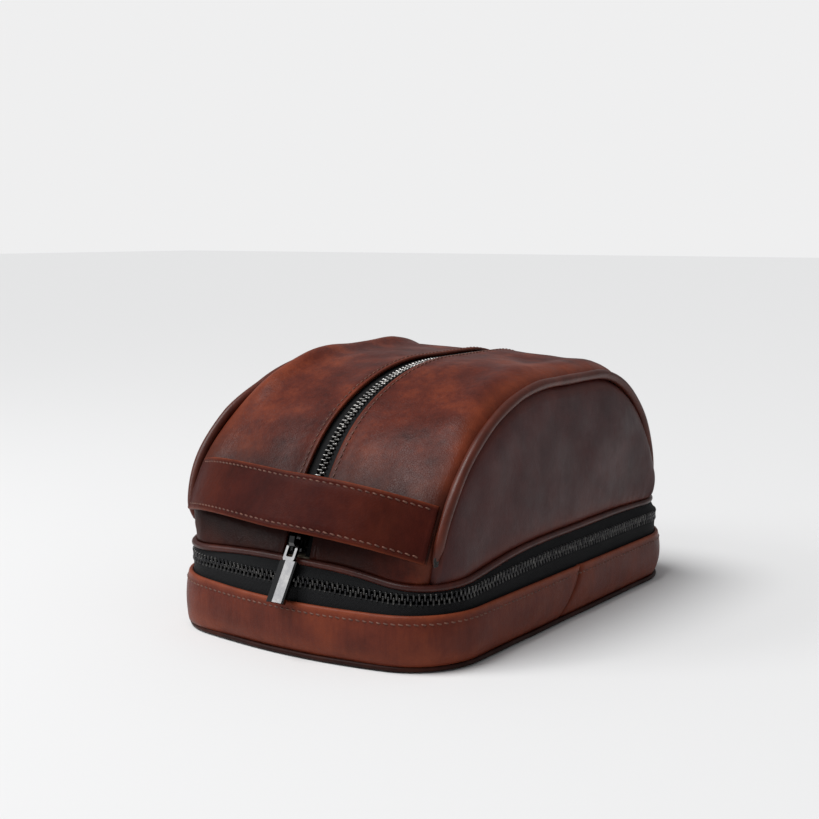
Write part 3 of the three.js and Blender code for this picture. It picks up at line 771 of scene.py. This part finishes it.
def soft_plate(name, inset, z, thick, swell, size, edge_line=None):
    """A cloth-covered plate in the tray's plan, with a slightly uneven upper and lower face."""
    runs = np.linspace(0, PERIMETER, 160, endpoint=False)
    edge, _ = plan(runs, inset)
    sag = np.zeros(len(runs))
    if edge_line:
        line, outs = edge_line(runs)
        edge = line[:, :2] - outs[:, :2] * (inset - PIPING_INSET)
        sag = line[:, 2] - PIPING_Z
    shares = np.array([1.0, 0.985, 0.95, 0.85, 0.7, 0.5, 0.3, 0.12])
    verts, faces = [], []
    count = len(runs)
    for side in (1, -1):
        for share in shares:
            spot = edge * share
            face = z + sag * share**6 + thick / 2 + side * (thick / 2 if share < 1 else thick / 4)
            face = face + side * swell * (ripple(lift(spot, side * 9.0), size) * 0.5 + 0.3) * (1 - share**8)
            verts.append(lift(spot, face))
    rows = len(shares)
    for side in range(2):
        for r in range(rows - 1):
            a, b = (side * rows + r) * count, (side * rows + r + 1) * count
            faces += [[a + k, a + (k + 1) % count, b + (k + 1) % count, b + k] for k in range(count)]
        last = (side * rows + rows - 1) * count
        faces.append([last + k for k in range(count)])
    faces += [[k, (k + 1) % count, rows * count + (k + 1) % count, rows * count + k] for k in range(count)]
    verts = np.concatenate(verts)
    uvs = np.array([verts[v][:2] for f in faces for v in f])
    return face_out(new_object(name, verts, faces, uvs))


# ---- lower zip ----
def chain_line(run):
    """The lower chain's centre line, which dips at the front corners."""
    point, out = plan(run, CHAIN_INSET)
    left = point[..., 0] < 0
    corner = front_corner(point, 34.0, np.where(left, 22.0, 50.0))
    bulge = np.where(left, 2.4, 0.8) * corner + 2.0 * rear_corner(point)
    z = CHAIN_Z - np.where(left, 0.0, 3.0) * corner + 0.25 * ripple(lift(point, 0), 90.0, 1.0)
    return lift(point + out * bulge[..., None], z), lift(out, np.zeros(out.shape[:-1]))


def tape_piece(name, edge_line, body, rise, node):
    """A zip tape from the chain to edge_line, with a corded edge beside the teeth."""
    runs = np.linspace(ZIP_END, PERIMETER - ZIP_END, 330)
    chain, out = chain_line(runs)
    edge = edge_line(runs)
    start = chain + np.array([0, 0, rise * 2.1])
    shares = np.linspace(0, 1, 7)
    cord = 0.45 * bump(shares, 0.0, 0.12)
    front = [start * (1 - s) + edge * s + out * (c + 0.35) for s, c in zip(shares, cord)]
    back = [start * (1 - s) + edge * s - out * (c + 0.35) for s, c in zip(shares, cord)]
    rings = np.stack(front + back[::-1], 1)
    return dress(sweep(name, rings), TAPE, body, "zip_tape", node)


def build_lower_zip():
    def tray_edge(runs):
        spot, _ = tray_skin(runs, np.full(len(runs), 0.82), np.full(len(runs), 3.4))
        return spot

    def body_edge(runs):
        spot, out = piping_line(runs)
        return spot - out * 0.6

    tape_piece("lower_tape_tray", tray_edge, "tray", -1, "lower_zip_tape_tray")
    tape_piece("lower_tape_body", body_edge, "upper", 1, "lower_zip_tape_body")
    count = int((PERIMETER - 2 * ZIP_END) / TOOTH_PITCH)
    for name, body, side, shift in (("tray", "tray", -1, 0.0), ("body", "upper", 1, 0.5)):
        runs = ZIP_END + 1 + (np.arange(count) + shift) * TOOTH_PITCH
        centre, out = chain_line(runs)
        along = unit(chain_line(runs + 0.5)[0] - chain_line(runs - 0.5)[0])
        reach = np.cross(along, out)
        reach *= np.sign(reach[:, 2:]) * side
        tooth_row(f"lower_teeth_{name}", centre, along, reach, out, TEETH_DARK, body,
                  f"lower_zip_teeth_{name}")
    for side in ("left", "right"):
        paint(f"lower_zip_stop_{side}", GUNMETAL)


# ---- base of the body and the hinge ----
def build_base():
    runs = np.linspace(0, PERIMETER, 420, endpoint=False)
    line, _ = piping_line(runs)
    piping = tube("base_piping_cord", line, PIPING_R, 14, closed=True)
    dress(piping, LEATHER_PIPING, "upper", "leather", "body_piping")
    low, high = cad("divider_panel")
    inset = BAND_HIGH[0] - high[0]
    divider = soft_plate("divider_cloth", inset, low[2], high[2] - low[2] - 0.3, 0.25, 34.0, piping_line)
    dress(divider, LINING, "upper", "lining", "divider_panel")
    paint("divider_stiffener", BOARD)
    build_hinge_strip()


def build_hinge_strip():
    """A leather strip that bends between the tray's rear edge and the body's base."""
    xs = np.linspace(-HINGE_HALF - 2.5, HINGE_HALF + 2.5, 60)
    heights = np.linspace(0, 1, 15)
    z_low, z_high = BAND_TOP - 3.5, PIPING_Z - 0.4
    z = z_low + (z_high - z_low) * heights
    y_low = HALF_LENGTH - 2.9
    y_high = HALF_LENGTH - PIPING_INSET + 0.4
    y = y_low + (y_high - y_low) * heights**1.6 + 1.5 * np.sin(np.pi * heights)
    rings = []
    for x in xs:
        edge = bump(abs(x), HINGE_HALF + 2.5, 1.2) * 0.3
        place = np.stack([np.full(len(z), x), y, z], 1)
        sway = 0.25 * ripple(place, 26.0, 3.0)
        outer = place + np.array([0, 1, 0]) * (sway - edge)[:, None]
        inner = outer - np.array([0, 1.4, 0])
        rings.append(loop(outer, inner))
    strip = sweep("hinge_strip", rings, wear=0.25)
    dress(strip, LEATHER_BAND, None, "leather", "rear_hinge_strip")
    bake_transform(strip)


# ---- dome ----
ZIP_STITCH_X = ZIP_GAP_HALF + 2.6  # the stitches beside the top zip
SEAM_STITCH_X = 2.7  # and beside the seam below its rear end
GUSSET_X = np.concatenate([ZIP_GAP_HALF + np.array([0.0, 0.5, 1.2, 2.0, 2.8, 3.8]), np.linspace(13, 64, 22),
                           [66.0, 67.6, 68.8, 69.8, 70.6]])


def gusset_depth(x, run, side):
    """How far the gusset's skin lies below the dome's plain shape, with its own soft relief."""
    groove = 0.3 * bump(x, ZIP_STITCH_X, 0.55)
    turned = -0.5 * bump(x, ZIP_GAP_HALF + 2.0, 4.5)
    welted = 2.6 * bump(x, 71.0, 2.4)
    place = dome(side * x, run)
    calm = np.clip((x - 9) / 12, 0, 1) * np.clip((71 - x) / 8, 0, 1)
    waves = (0.75 * ripple(place, 74.0, side) + 0.3 * ripple(place, 31.0, 2 + side)) * calm
    strapped = bump(run, STRAP_RUN + 4 * (side < 0), 24.0)
    pressed = strapped + bump(run, 0.0, 16.0) + bump(run, ARCH_LENGTH, 22.0)
    height, at, width = EDGE_PUFF[side]
    puff = height * bump(x, at, width) * np.clip(1 - 0.85 * pressed, 0, 1)
    return groove + turned + welted - waves - puff


def zip_gap_share(run):
    """1 along the top zip and 0 below its rear end, where the two gussets meet in a seam."""
    z = arch(run)[..., 1]
    below = (z < cad("top_zip_stop")[0][2] - 0.5) & (run > ARCH_LENGTH / 2)
    return np.where(below, 0.0, 1.0)


def gusset(side, name):
    runs = np.linspace(0, ARCH_LENGTH, 190)
    rings, wear, dark = [], [], []
    for run in runs:
        share = zip_gap_share(run)
        x = GUSSET_X - (ZIP_GAP_HALF - 0.1) * (1 - share) * bump(GUSSET_X, ZIP_GAP_HALF, 22.0)
        depth = gusset_depth(GUSSET_X, run, side)
        outer = dome(side * x, run, depth)
        inner = dome(side * x, run, depth + LEATHER)
        rings.append(loop(outer, inner))
        rub = 0.55 * bump(GUSSET_X, ZIP_GAP_HALF, 0.9) + 0.55 * bump(GUSSET_X, 66.5, 4.5)
        wear.append(np.concatenate([rub, np.zeros(len(inner))]))
        # painted shade: the dark mark darkens the gusset's lower front under the strap, except for a patch
        # near the near corner
        patch = bump(side * GUSSET_X, 60, 15) * bump(run, 4, 14)
        shade = 0.95 * bump(run, 16.0, 34.0) * (1 - patch)
        dark.append(np.concatenate([shade, np.zeros(len(inner))]))
    skin = sweep(f"gusset_skin_{name}", rings, wear=wear, dark=dark)
    dress(skin, LEATHER_TOP, "upper", "leather", f"gusset_{name}")
    runs = np.linspace(STRAP_RUN * 0.55, ARCH_LENGTH - 6, 190)
    inset = np.where(zip_gap_share(runs) > 0, ZIP_STITCH_X, SEAM_STITCH_X)
    depth = gusset_depth(np.full(len(runs), ZIP_STITCH_X), runs, side) - 0.1
    spots = dome(side * inset, runs, depth)
    outs = spots - dome(side * inset, runs, depth + 1)
    stitches(f"gusset_stitches_{name}", spots, outs, "upper")


def side_panel(side, name):
    """The arched side: columns from the base up to the outline, puffed out and creased."""
    inset = 2.4
    runs = np.linspace(1.5, ARCH_LENGTH - 1.5, 130)
    top = arch(runs, np.full(len(runs), inset))
    share = (runs - runs[0]) / (runs[-1] - runs[0])
    foot_y = top[0, 0] + (top[-1, 0] - top[0, 0]) * (0.2 * share + 0.8 * (0.5 - 0.5 * np.cos(np.pi * share)))
    base_z = BODY_Z - 1.0
    t = np.concatenate([[0, 0.012, 0.03, 0.06], np.linspace(0.1, 0.94, 18), [0.98, 1.0]])
    rings, wear = [], []
    for (y, z), foot in zip(top, foot_y):
        column_y = y + (foot - y) * t
        column_z = z + (base_z - z) * t
        length = math.hypot(z - base_z, y - foot)
        flat = np.full(len(t), side * (BODY_HALF - 0.6))
        base = crown(side * BODY_HALF, foot, BODY_Z)
        skin = settle(crown(flat, column_y, column_z), base)
        rearward = np.clip((column_y + 20) / 110, 0, 1)
        belly = np.clip(4 * t * (1 - t), 0, 1) * min(length / (45.0 - 20.0 * rearward[0]), 1.0)
        waves = 0.8 * ripple(skin, 76.0, 5 + side) + 0.2 * ripple(skin, 31.0, 7 + side)
        swell = (2.6 + 2.4 * rearward) * belly**0.55 + waves * belly**0.5
        swell = swell - 1.8 * bump(t * length, 0.0, 2.4)
        outer = skin + np.stack([side * swell, np.zeros(len(t)), np.zeros(len(t))], 1)
        inner = outer - np.array([side * LEATHER, 0, 0])
        rings.append(loop(outer, inner))
        rub = 0.18 * bump(t * length, 3.5, 4.0) + 0.4 * bump(t, 1.0, 0.08)
        wear.append(np.concatenate([rub, np.zeros(len(inner))]))
    panel = sweep(f"side_skin_{name}", rings, wear=wear)
    dress(panel, LEATHER_SIDE, "upper", "leather", f"side_panel_{name}")


def side_piping(side, name):
    runs = np.linspace(7.5, ARCH_LENGTH - 2, 210)
    sunk = 2.2 * np.clip((runs - 70) / 25, 0, 1) * (side < 0)
    line = dome(side * BODY_HALF, runs, 0.1 + sunk)
    front_end, rear_end = runs - runs[0], runs[-1] - runs
    taper = np.clip(front_end / 8.0, 0, 1) ** 0.6 * np.clip(rear_end / 6.0, 0, 1) ** 0.6
    radius = SIDE_PIPING_R * (0.12 + 0.88 * taper) * (1 + 0.03 * np.sin(runs / 5.3))
    line -= np.array([side, -0.6, 0]) * (1.2 * (1 - taper))[:, None]
    cord = tube(f"side_piping_cord_{name}", line, radius, 14, up=(side, 0, 0), wear=0.2)
    dress(cord, LEATHER_PIPING, "upper", "leather", f"side_piping_{name}")


TOP_CHAIN_DEPTH = 2.1  # the top chain's centre line lies this far below the dome's shape


def build_top_zip():
    zip_end_run = float(ARCH_RUN[-1] - (REAR_Z - BODY_Z) - REAR_R * math.asin(
        (cad("top_zip_stop")[0][2] - REAR_Z) / REAR_R))
    for side, name in ((-1, "left"), (1, "right")):
        runs = np.linspace(0.5, zip_end_run + 6, 180)
        xs = np.array([2.3, 2.6, 3.2, 4.5, 6.5, 9.0, 12.5])
        cord = 0.4 * bump(xs, 2.5, 0.35)
        front = [dome(side * x, runs, 2.3 - c) for x, c in zip(xs, cord)]
        back = [dome(side * x, runs, 3.0 + c) for x, c in zip(xs, cord)]
        tape = sweep(f"top_tape_{name}", np.stack(front + back[::-1], 1))
        dress(tape, TAPE, "upper", "zip_tape", f"top_zip_tape_{name}")
        count = int((zip_end_run - 4) / TOOTH_PITCH)
        shift = 0.5 if side > 0 else 0.0
        runs = 4 + (np.arange(count) + shift) * TOOTH_PITCH
        centre = dome(0.0, runs, TOP_CHAIN_DEPTH)
        out = centre - dome(0.0, runs, TOP_CHAIN_DEPTH + 1)
        along = unit(dome(0.0, runs + 0.5, TOP_CHAIN_DEPTH) - dome(0.0, runs - 0.5, TOP_CHAIN_DEPTH))
        reach = np.tile([float(side), 0, 0], (count, 1))
        tooth_row(f"top_teeth_{name}", centre, along, reach, out, TEETH_BRIGHT, "upper",
                  f"top_zip_teeth_{name}")
    paint("top_zip_stop", GUNMETAL)


def build_upper_lining():
    """The dome's cloth lining: two halves under the gussets and one inside each side panel."""
    for side, name in ((-1, "left"), (1, "right")):
        runs = np.linspace(4, ARCH_LENGTH - 1, 90)
        xs = np.linspace(9.5, 68.6, 16)
        outer = [dome(side * x, runs, 3.6 + 0.25 * np.sin(runs / 9.0 + x)) for x in xs]
        inner = [dome(side * x, runs, 4.3 + 0.25 * np.sin(runs / 9.0 + x)) for x in xs]
        top = sweep(f"dome_lining_{name}", np.stack(outer + inner[::-1], 1))
        dress(top, LINING, "upper", "lining")
        wall_runs = np.linspace(6, ARCH_LENGTH - 4, 60)
        edge = arch(wall_runs, np.full(len(wall_runs), 4.0))
        foot = np.linspace(edge[0, 0], edge[-1, 0], len(wall_runs))
        t = np.linspace(0, 1, 10)
        rings = []
        for (y, z), fy in zip(edge, foot):
            cy, cz = y + (fy - y) * t, z + (BODY_Z + 1.2 - z) * t
            wall = crown(np.full(len(t), side * 69.4), cy, cz)
            rings.append(np.concatenate([wall, (wall - np.array([side * 0.7, 0, 0]))[::-1]]))
        wall = sweep(f"side_lining_{name}", rings)
        dress(wall, LINING, "upper", "lining")
    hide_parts("upper_lining")


# ---- handle strap ----
def strap_point(x, up, out):
    """A point of the strap: x across the bag, up its face, out from its inner face."""
    bow = STRAP_MID_R - STRAP_END_R
    radius = (STRAP_HALF**2 + bow**2) / (2 * bow)
    reach = STRAP_MID_R - radius + np.sqrt(radius**2 - np.clip(np.abs(x), 0, STRAP_HALF) ** 2)
    share = x / STRAP_HALF
    right = np.clip(share, 0, 1)
    reach = reach - RIGHT_END_IN * right**3
    x = x * (1 - RIGHT_END_SHORT * right)
    raised = 2.0 + 8.0 * np.clip(-share, 0, 1) ** 1.2 - 1.0 * np.clip(share, 0, 1)
    tilt = STRAP_TILT + raised / STRAP_MID_R
    outward = np.stack(np.broadcast_arrays(0.0, -np.cos(tilt), np.sin(tilt)), -1)
    upward = np.stack(np.broadcast_arrays(0.0, np.sin(tilt), np.cos(tilt)), -1)
    centre = np.stack(np.broadcast_arrays(x, DOME_Y, DOME_Z), -1)
    hugged = np.where(np.abs(share) > 0.8, (np.abs(share) - 0.8) * 3.0, 0.0) * (np.asarray(up) / 14.5) ** 2
    return centre + outward * (reach + out - hugged)[..., None] + upward * np.asarray(up)[..., None]


STRAP_STITCH = 0.82  # the strap's stitches, as a share of its half height


def strap_layer(name, material, inner, outer, half_height, node, slot):
    xs = np.linspace(-STRAP_HALF - 0.6, STRAP_HALF + 0.6, 110)
    up = np.concatenate([[-1.0, -0.985, -0.95, -0.87, -0.82, -0.77], np.linspace(-0.6, 0.6, 9),
                         [0.77, 0.82, 0.87, 0.95, 0.985, 1.0]])
    rings, wear = [], []
    for x in xs:
        groove = 0.28 * (bump(up, STRAP_STITCH, 0.035) + bump(up, -STRAP_STITCH, 0.035))
        round_edge = 0.55 * (bump(up, 1.0, 0.03) + bump(up, -1.0, 0.03))
        place = strap_point(np.full(len(up), x), up * half_height, np.zeros(len(up)))
        soft = 0.3 * ripple(place, 46.0, 9.0)
        front = strap_point(np.full(len(up), x), up * half_height, outer - groove - round_edge + soft)
        back = strap_point(np.full(len(up), x), up * half_height, inner + round_edge * 0.6 + soft)
        rings.append(loop(front, back))
        rub = 0.75 * (bump(up, 1.0, 0.05) + 0.7 * bump(up, -1.0, 0.04)) + 0.12 * bump(abs(x), 52, 16)
        wear.append(np.concatenate([rub, 0.3 * rub[::-1]]))
    layer = sweep(name, rings, wear=wear)
    return dress(layer, material, "upper", slot, node)


def build_strap():
    half = STRAP_HEIGHT / 2
    strap_layer("strap_backing", LEATHER_WELT, 0.0, 1.35, half - 0.25, "handle_strap_backing",
                "leather_dark")
    strap_layer("strap_face", LEATHER_STRAP, 1.5, 3.3, half, "handle_strap_outer", "leather")
    xs = np.linspace(-STRAP_HALF + 1.5, STRAP_HALF - 1.5, 120)
    for name, share in (("top", STRAP_STITCH), ("bottom", -STRAP_STITCH)):
        spots = strap_point(xs, np.full(len(xs), share * half), np.full(len(xs), 3.2))
        outs = spots - strap_point(xs, np.full(len(xs), share * half), np.full(len(xs), 2.2))
        stitches(f"strap_stitches_{name}", spots, outs, "upper")


# ---- sliders and pulls ----
def bevelled(name, build, width, segments, matrix):
    """A hard piece built by bmesh code in its own frame, bevelled and moved by matrix."""
    bm = bmesh.new()
    build(bm)
    edges = [e for e in bm.edges if len(e.link_faces) == 2 and e.calc_face_angle() > 0.45]
    rounded = bmesh.ops.bevel(bm, geom=edges, offset=width, segments=segments, profile=0.7,
                              affect="EDGES", clamp_overlap=True)
    for face in rounded["faces"]:
        face.smooth = True
    bmesh.ops.recalc_face_normals(bm, faces=bm.faces)
    mesh = bpy.data.meshes.new(name)
    bm.to_mesh(mesh)
    bm.free()
    mesh.transform(matrix @ Matrix.Scale(MM, 4))
    obj = bpy.data.objects.new(name, mesh)
    bpy.context.scene.collection.objects.link(obj)
    return obj


def prism(bm, outline, low, high, place):
    """Adds a closed prism: outline points (a, b) placed by place(a, b, c) at c = low and high."""
    bottom = [bm.verts.new(place(a, b, low)) for a, b in outline]
    top = [bm.verts.new(place(a, b, high)) for a, b in outline]
    count = len(outline)
    bm.faces.new(bottom[::-1])
    bm.faces.new(top)
    for k in range(count):
        bm.faces.new([bottom[k], bottom[(k + 1) % count], top[(k + 1) % count], top[k]])


def frame_prism(bm, outer, inner, low, high, place):
    """A closed ring between two outlines with the same number of points."""
    loops = [[bm.verts.new(place(a, b, c)) for a, b in outline]
             for outline in (outer, inner) for c in (low, high)]
    outer_low, outer_high, inner_low, inner_high = loops
    count = len(outer)
    for k in range(count):
        n = (k + 1) % count
        bm.faces.new([outer_low[k], outer_low[n], outer_high[n], outer_high[k]])
        bm.faces.new([inner_low[n], inner_low[k], inner_high[k], inner_high[n]])
        bm.faces.new([outer_high[k], outer_high[n], inner_high[n], inner_high[k]])
        bm.faces.new([outer_low[n], outer_low[k], inner_low[k], inner_low[n]])


SLIDER_LENGTH = 13.0
PLATE_LOW, PLATE_TOP = 0.3, 1.8
PIVOT_OUT, PIVOT_ALONG = 3.55, 1.9
EYE_LENGTH, EYE_HALF, EYE_THICK = 11.0, 3.4, 1.6
BAR_LENGTH, BAR_HALF, BAR_THICK = 20.6, 5.5, 2.4


def slider_plate(bm):
    half = SLIDER_LENGTH / 2
    outline = [(-4.4, -half), (-5.4, -half + 2), (-5.4, -1), (-3.9, half - 1), (-3.0, half), (3.0, half),
               (3.9, half - 1), (5.4, -1), (5.4, -half + 2), (4.4, -half)]
    prism(bm, outline, PLATE_LOW, PLATE_TOP, lambda a, b, c: (a, c, b))


def slider_lip(side, deep):
    def build(bm):
        half = SLIDER_LENGTH / 2 - 0.6
        near, far, top = side * 3.4, side * 4.0, PLATE_LOW + 0.3
        outline = [(near, -deep), (far, -deep), (far, top), (near, top)]
        prism(bm, outline, -half, half, lambda a, b, c: (a, b, c))
    return build


def slider_bridge(bm):
    low, top, wall = PLATE_TOP - 0.2, 6.6, 1.5
    outline = [(-4.5, low), (-4.3, top - 1.6), (-2.9, top - 0.2), (0.2, top), (3.4, top - 0.2),
               (4.8, top - 1.6), (5.0, low), (5.0 - wall, low), (3.4, top - wall - 0.9), (2.9, top - wall),
               (0.2, top - wall),
               (-2.4, top - wall), (-2.9, top - wall - 0.9), (-4.5 + wall, low)]
    prism(bm, outline, -1.5, 1.5, lambda a, b, c: (c, b, a))


def pull_eye(bm):
    near = -EYE_THICK / 2
    far = near + EYE_LENGTH
    outer = [(-EYE_HALF, near), (EYE_HALF, near), (EYE_HALF, far - 1), (EYE_HALF - 0.6, far),
             (-EYE_HALF + 0.6, far), (-EYE_HALF, far - 1)]
    inner = [(-2.0, near + 1.6), (2.0, near + 1.6), (2.0, far - 2.4), (1.5, far - 1.9), (-1.5, far - 1.9),
             (-2.0, far - 2.4)]
    frame_prism(bm, outer, inner, -EYE_THICK / 2, EYE_THICK / 2, lambda a, b, c: (a, c, b))


def pull_bar(bm):
    near = EYE_LENGTH - EYE_THICK / 2 + 0.05
    half = BAR_THICK / 2
    outline = [(-BAR_HALF, -half), (BAR_HALF, -half), (BAR_HALF, half - 0.6), (BAR_HALF - 0.8, half),
               (-BAR_HALF + 4.6, half), (-BAR_HALF, half - 1.6)]
    prism(bm, outline, near, near + BAR_LENGTH, lambda a, b, c: (a, b, c))


def basis(x, y, z, origin):
    columns = Matrix([x, y, z]).transposed().to_4x4()
    return Matrix.Translation(Vector(origin) * MM) @ columns


def build_slider(kind, place, out, along, turn, lips, lip_deep):
    """A slider and its pull; the pull turns about the bridge's crossbar."""
    across = Vector(out).cross(Vector(along))
    at = basis(across, Vector(out), Vector(along), place)
    body = f"{kind}_slider"
    plate = bevelled(f"{kind}_slider_plate", slider_plate, 0.45, 3, at)
    dress(plate, GUNMETAL, body, "gunmetal", f"{kind}_slider_body")
    for side in lips:
        which = "left" if side < 0 else "right"
        lip = bevelled(f"{kind}_slider_lip_{which}", slider_lip(side, lip_deep), 0.12, 2, at)
        dress(lip, GUNMETAL, body, "gunmetal")
    bridge = bevelled(f"{kind}_bridge", slider_bridge, 0.35, 3, at)
    dress(bridge, GUNMETAL, body, "gunmetal", f"{kind}_slider_bridge")
    hang = (at @ Matrix.Translation(Vector((0, PIVOT_OUT, PIVOT_ALONG)) * MM)
            @ Matrix.Rotation(turn, 4, "X"))
    eye = bevelled(f"{kind}_eye", pull_eye, 0.3, 3, hang)
    dress(eye, GUNMETAL, f"{kind}_pull", "gunmetal", f"{kind}_pull_eye")
    bar = bevelled(f"{kind}_bar", pull_bar, 0.22, 3, hang)
    dress(bar, GUNMETAL, f"{kind}_pull", "gunmetal", f"{kind}_pull_bar")


TOP_SLIDER_ANGLE = math.radians(21.3)  # where it stands on the dome's front arc
TOP_SLIDER_RUN = 12.0  # the same place as a distance along the outline
TOP_SLIDER_SINK = 0.4
TOP_PULL_TILT = math.radians(31)  # its pull hangs out this far from upright
LOWER_SLIDER_Y = 80.0
LOWER_SLIDER_INSET = 2.6  # far enough out to clear the chain at the end of its travel
TOP_LIP_DEEP, LOWER_LIP_DEEP = 1.2, 0.1


def build_sliders():
    angle = TOP_SLIDER_ANGLE
    out = (0, -math.cos(angle), math.sin(angle))
    down = (0, -math.sin(angle), -math.cos(angle))
    radius = DOME_R - TOP_SLIDER_SINK
    place = (wander(TOP_SLIDER_RUN), DOME_Y + out[1] * radius, DOME_Z + out[2] * radius)
    build_slider("top", place, out, down, angle - TOP_PULL_TILT, (-1, 1), TOP_LIP_DEEP)
    place = (-TRAY_WIDTH / 2 + LOWER_SLIDER_INSET, LOWER_SLIDER_Y, CHAIN_Z)
    build_slider("lower", place, (-1, 0, 0), (0, 1, 0), 0.0, (-1,), LOWER_LIP_DEEP)


# ---- stage ----
FLOOR_HALF = 9000.0
SKY_SEEN, SKY_STRENGTH = 0.863, 0.30  # the plain backdrop, and the soft light that it gives
SUN_TRAVEL, SUN_ENERGY, SUN_ANGLE = (0.36, 0.48, -1.15), 2.5, 34
SOFTBOX_AT, SOFTBOX_AIM = (-0.76, -0.77, 0.70), (0.0, -0.12, 0.04)
SOFTBOX_SIZE, SOFTBOX_ENERGY = (0.40, 0.50), 3.6


def build_floor():
    corners = np.array([[-1, -1, 0], [1, -1, 0], [1, 1, 0], [-1, 1, 0]])
    floor = new_object("floor", corners * FLOOR_HALF, [[0, 1, 2, 3]])
    n = Nodes("floor_paper")
    n.shader.inputs["Base Color"].default_value = (0.80, 0.80, 0.80, 1)
    n.shader.inputs["Roughness"].default_value = 0.9
    n.shader.inputs["Specular IOR Level"].default_value = 0.1
    floor.data.materials.append(n.material)


def build_world():
    """A backdrop that is brighter to the camera than the light that it casts."""
    world = bpy.data.worlds.new("studio")
    bpy.context.scene.world = world
    world.use_nodes = True
    tree = world.node_tree
    background = tree.nodes["Background"]
    path = tree.nodes.new("ShaderNodeLightPath")
    mix = tree.nodes.new("ShaderNodeMixShader")
    seen = tree.nodes.new("ShaderNodeBackground")
    background.inputs["Color"].default_value = (0.97, 0.98, 1.0, 1)
    background.inputs["Strength"].default_value = SKY_STRENGTH
    seen.inputs["Color"].default_value = (SKY_SEEN, SKY_SEEN, SKY_SEEN + 0.003, 1)
    seen.inputs["Strength"].default_value = 1.0
    tree.links.new(path.outputs["Is Camera Ray"], mix.inputs[0])
    tree.links.new(background.outputs[0], mix.inputs[1])
    tree.links.new(seen.outputs[0], mix.inputs[2])
    tree.links.new(mix.outputs[0], tree.nodes["World Output"].inputs["Surface"])


def add_lamp(name, kind, energy, direction):
    """A lamp that shines along a direction."""
    light = bpy.data.lights.new(name, kind)
    light.energy = energy
    lamp = bpy.data.objects.new(name, light)
    lamp.rotation_euler = Vector(direction).to_track_quat("-Z", "Y").to_euler()
    bpy.context.scene.collection.objects.link(lamp)
    return lamp


def build_lights():
    sun = add_lamp("window", "SUN", SUN_ENERGY, SUN_TRAVEL)
    sun.data.angle = math.radians(SUN_ANGLE)
    softbox = add_lamp("softbox", "AREA", SOFTBOX_ENERGY, Vector(SOFTBOX_AIM) - Vector(SOFTBOX_AT))
    softbox.data.shape = "RECTANGLE"
    softbox.data.size, softbox.data.size_y = SOFTBOX_SIZE
    softbox.location = SOFTBOX_AT


CAMERA_AT, CAMERA_AIM = (407.0, -595.7, 197.0), (0.0, 2.3, 55.3)
CAMERA_LENS, CAMERA_SHIFT = 59.7, (-0.0366, 0.105)


def build_camera():
    camera = bpy.data.cameras.new("camera")
    camera.lens = CAMERA_LENS
    camera.sensor_width = 36.0
    camera.shift_x, camera.shift_y = CAMERA_SHIFT
    obj = bpy.data.objects.new("camera", camera)
    bpy.context.scene.collection.objects.link(obj)
    obj.location = Vector(CAMERA_AT) * MM
    aim = Vector(CAMERA_AIM) * MM - obj.location
    obj.rotation_euler = aim.to_track_quat("-Z", "Y").to_euler()
    bpy.context.scene.camera = obj


build_camera()
build_floor()
build_world()
build_lights()
bpy.context.scene.view_settings.view_transform = "Standard"
build_tray()
build_lower_zip()
build_base()
for which, word in ((-1, "left"), (1, "right")):
    gusset(which, word)
    side_panel(which, word)
    side_piping(which, word)
build_top_zip()
build_upper_lining()
build_strap()
build_sliders()
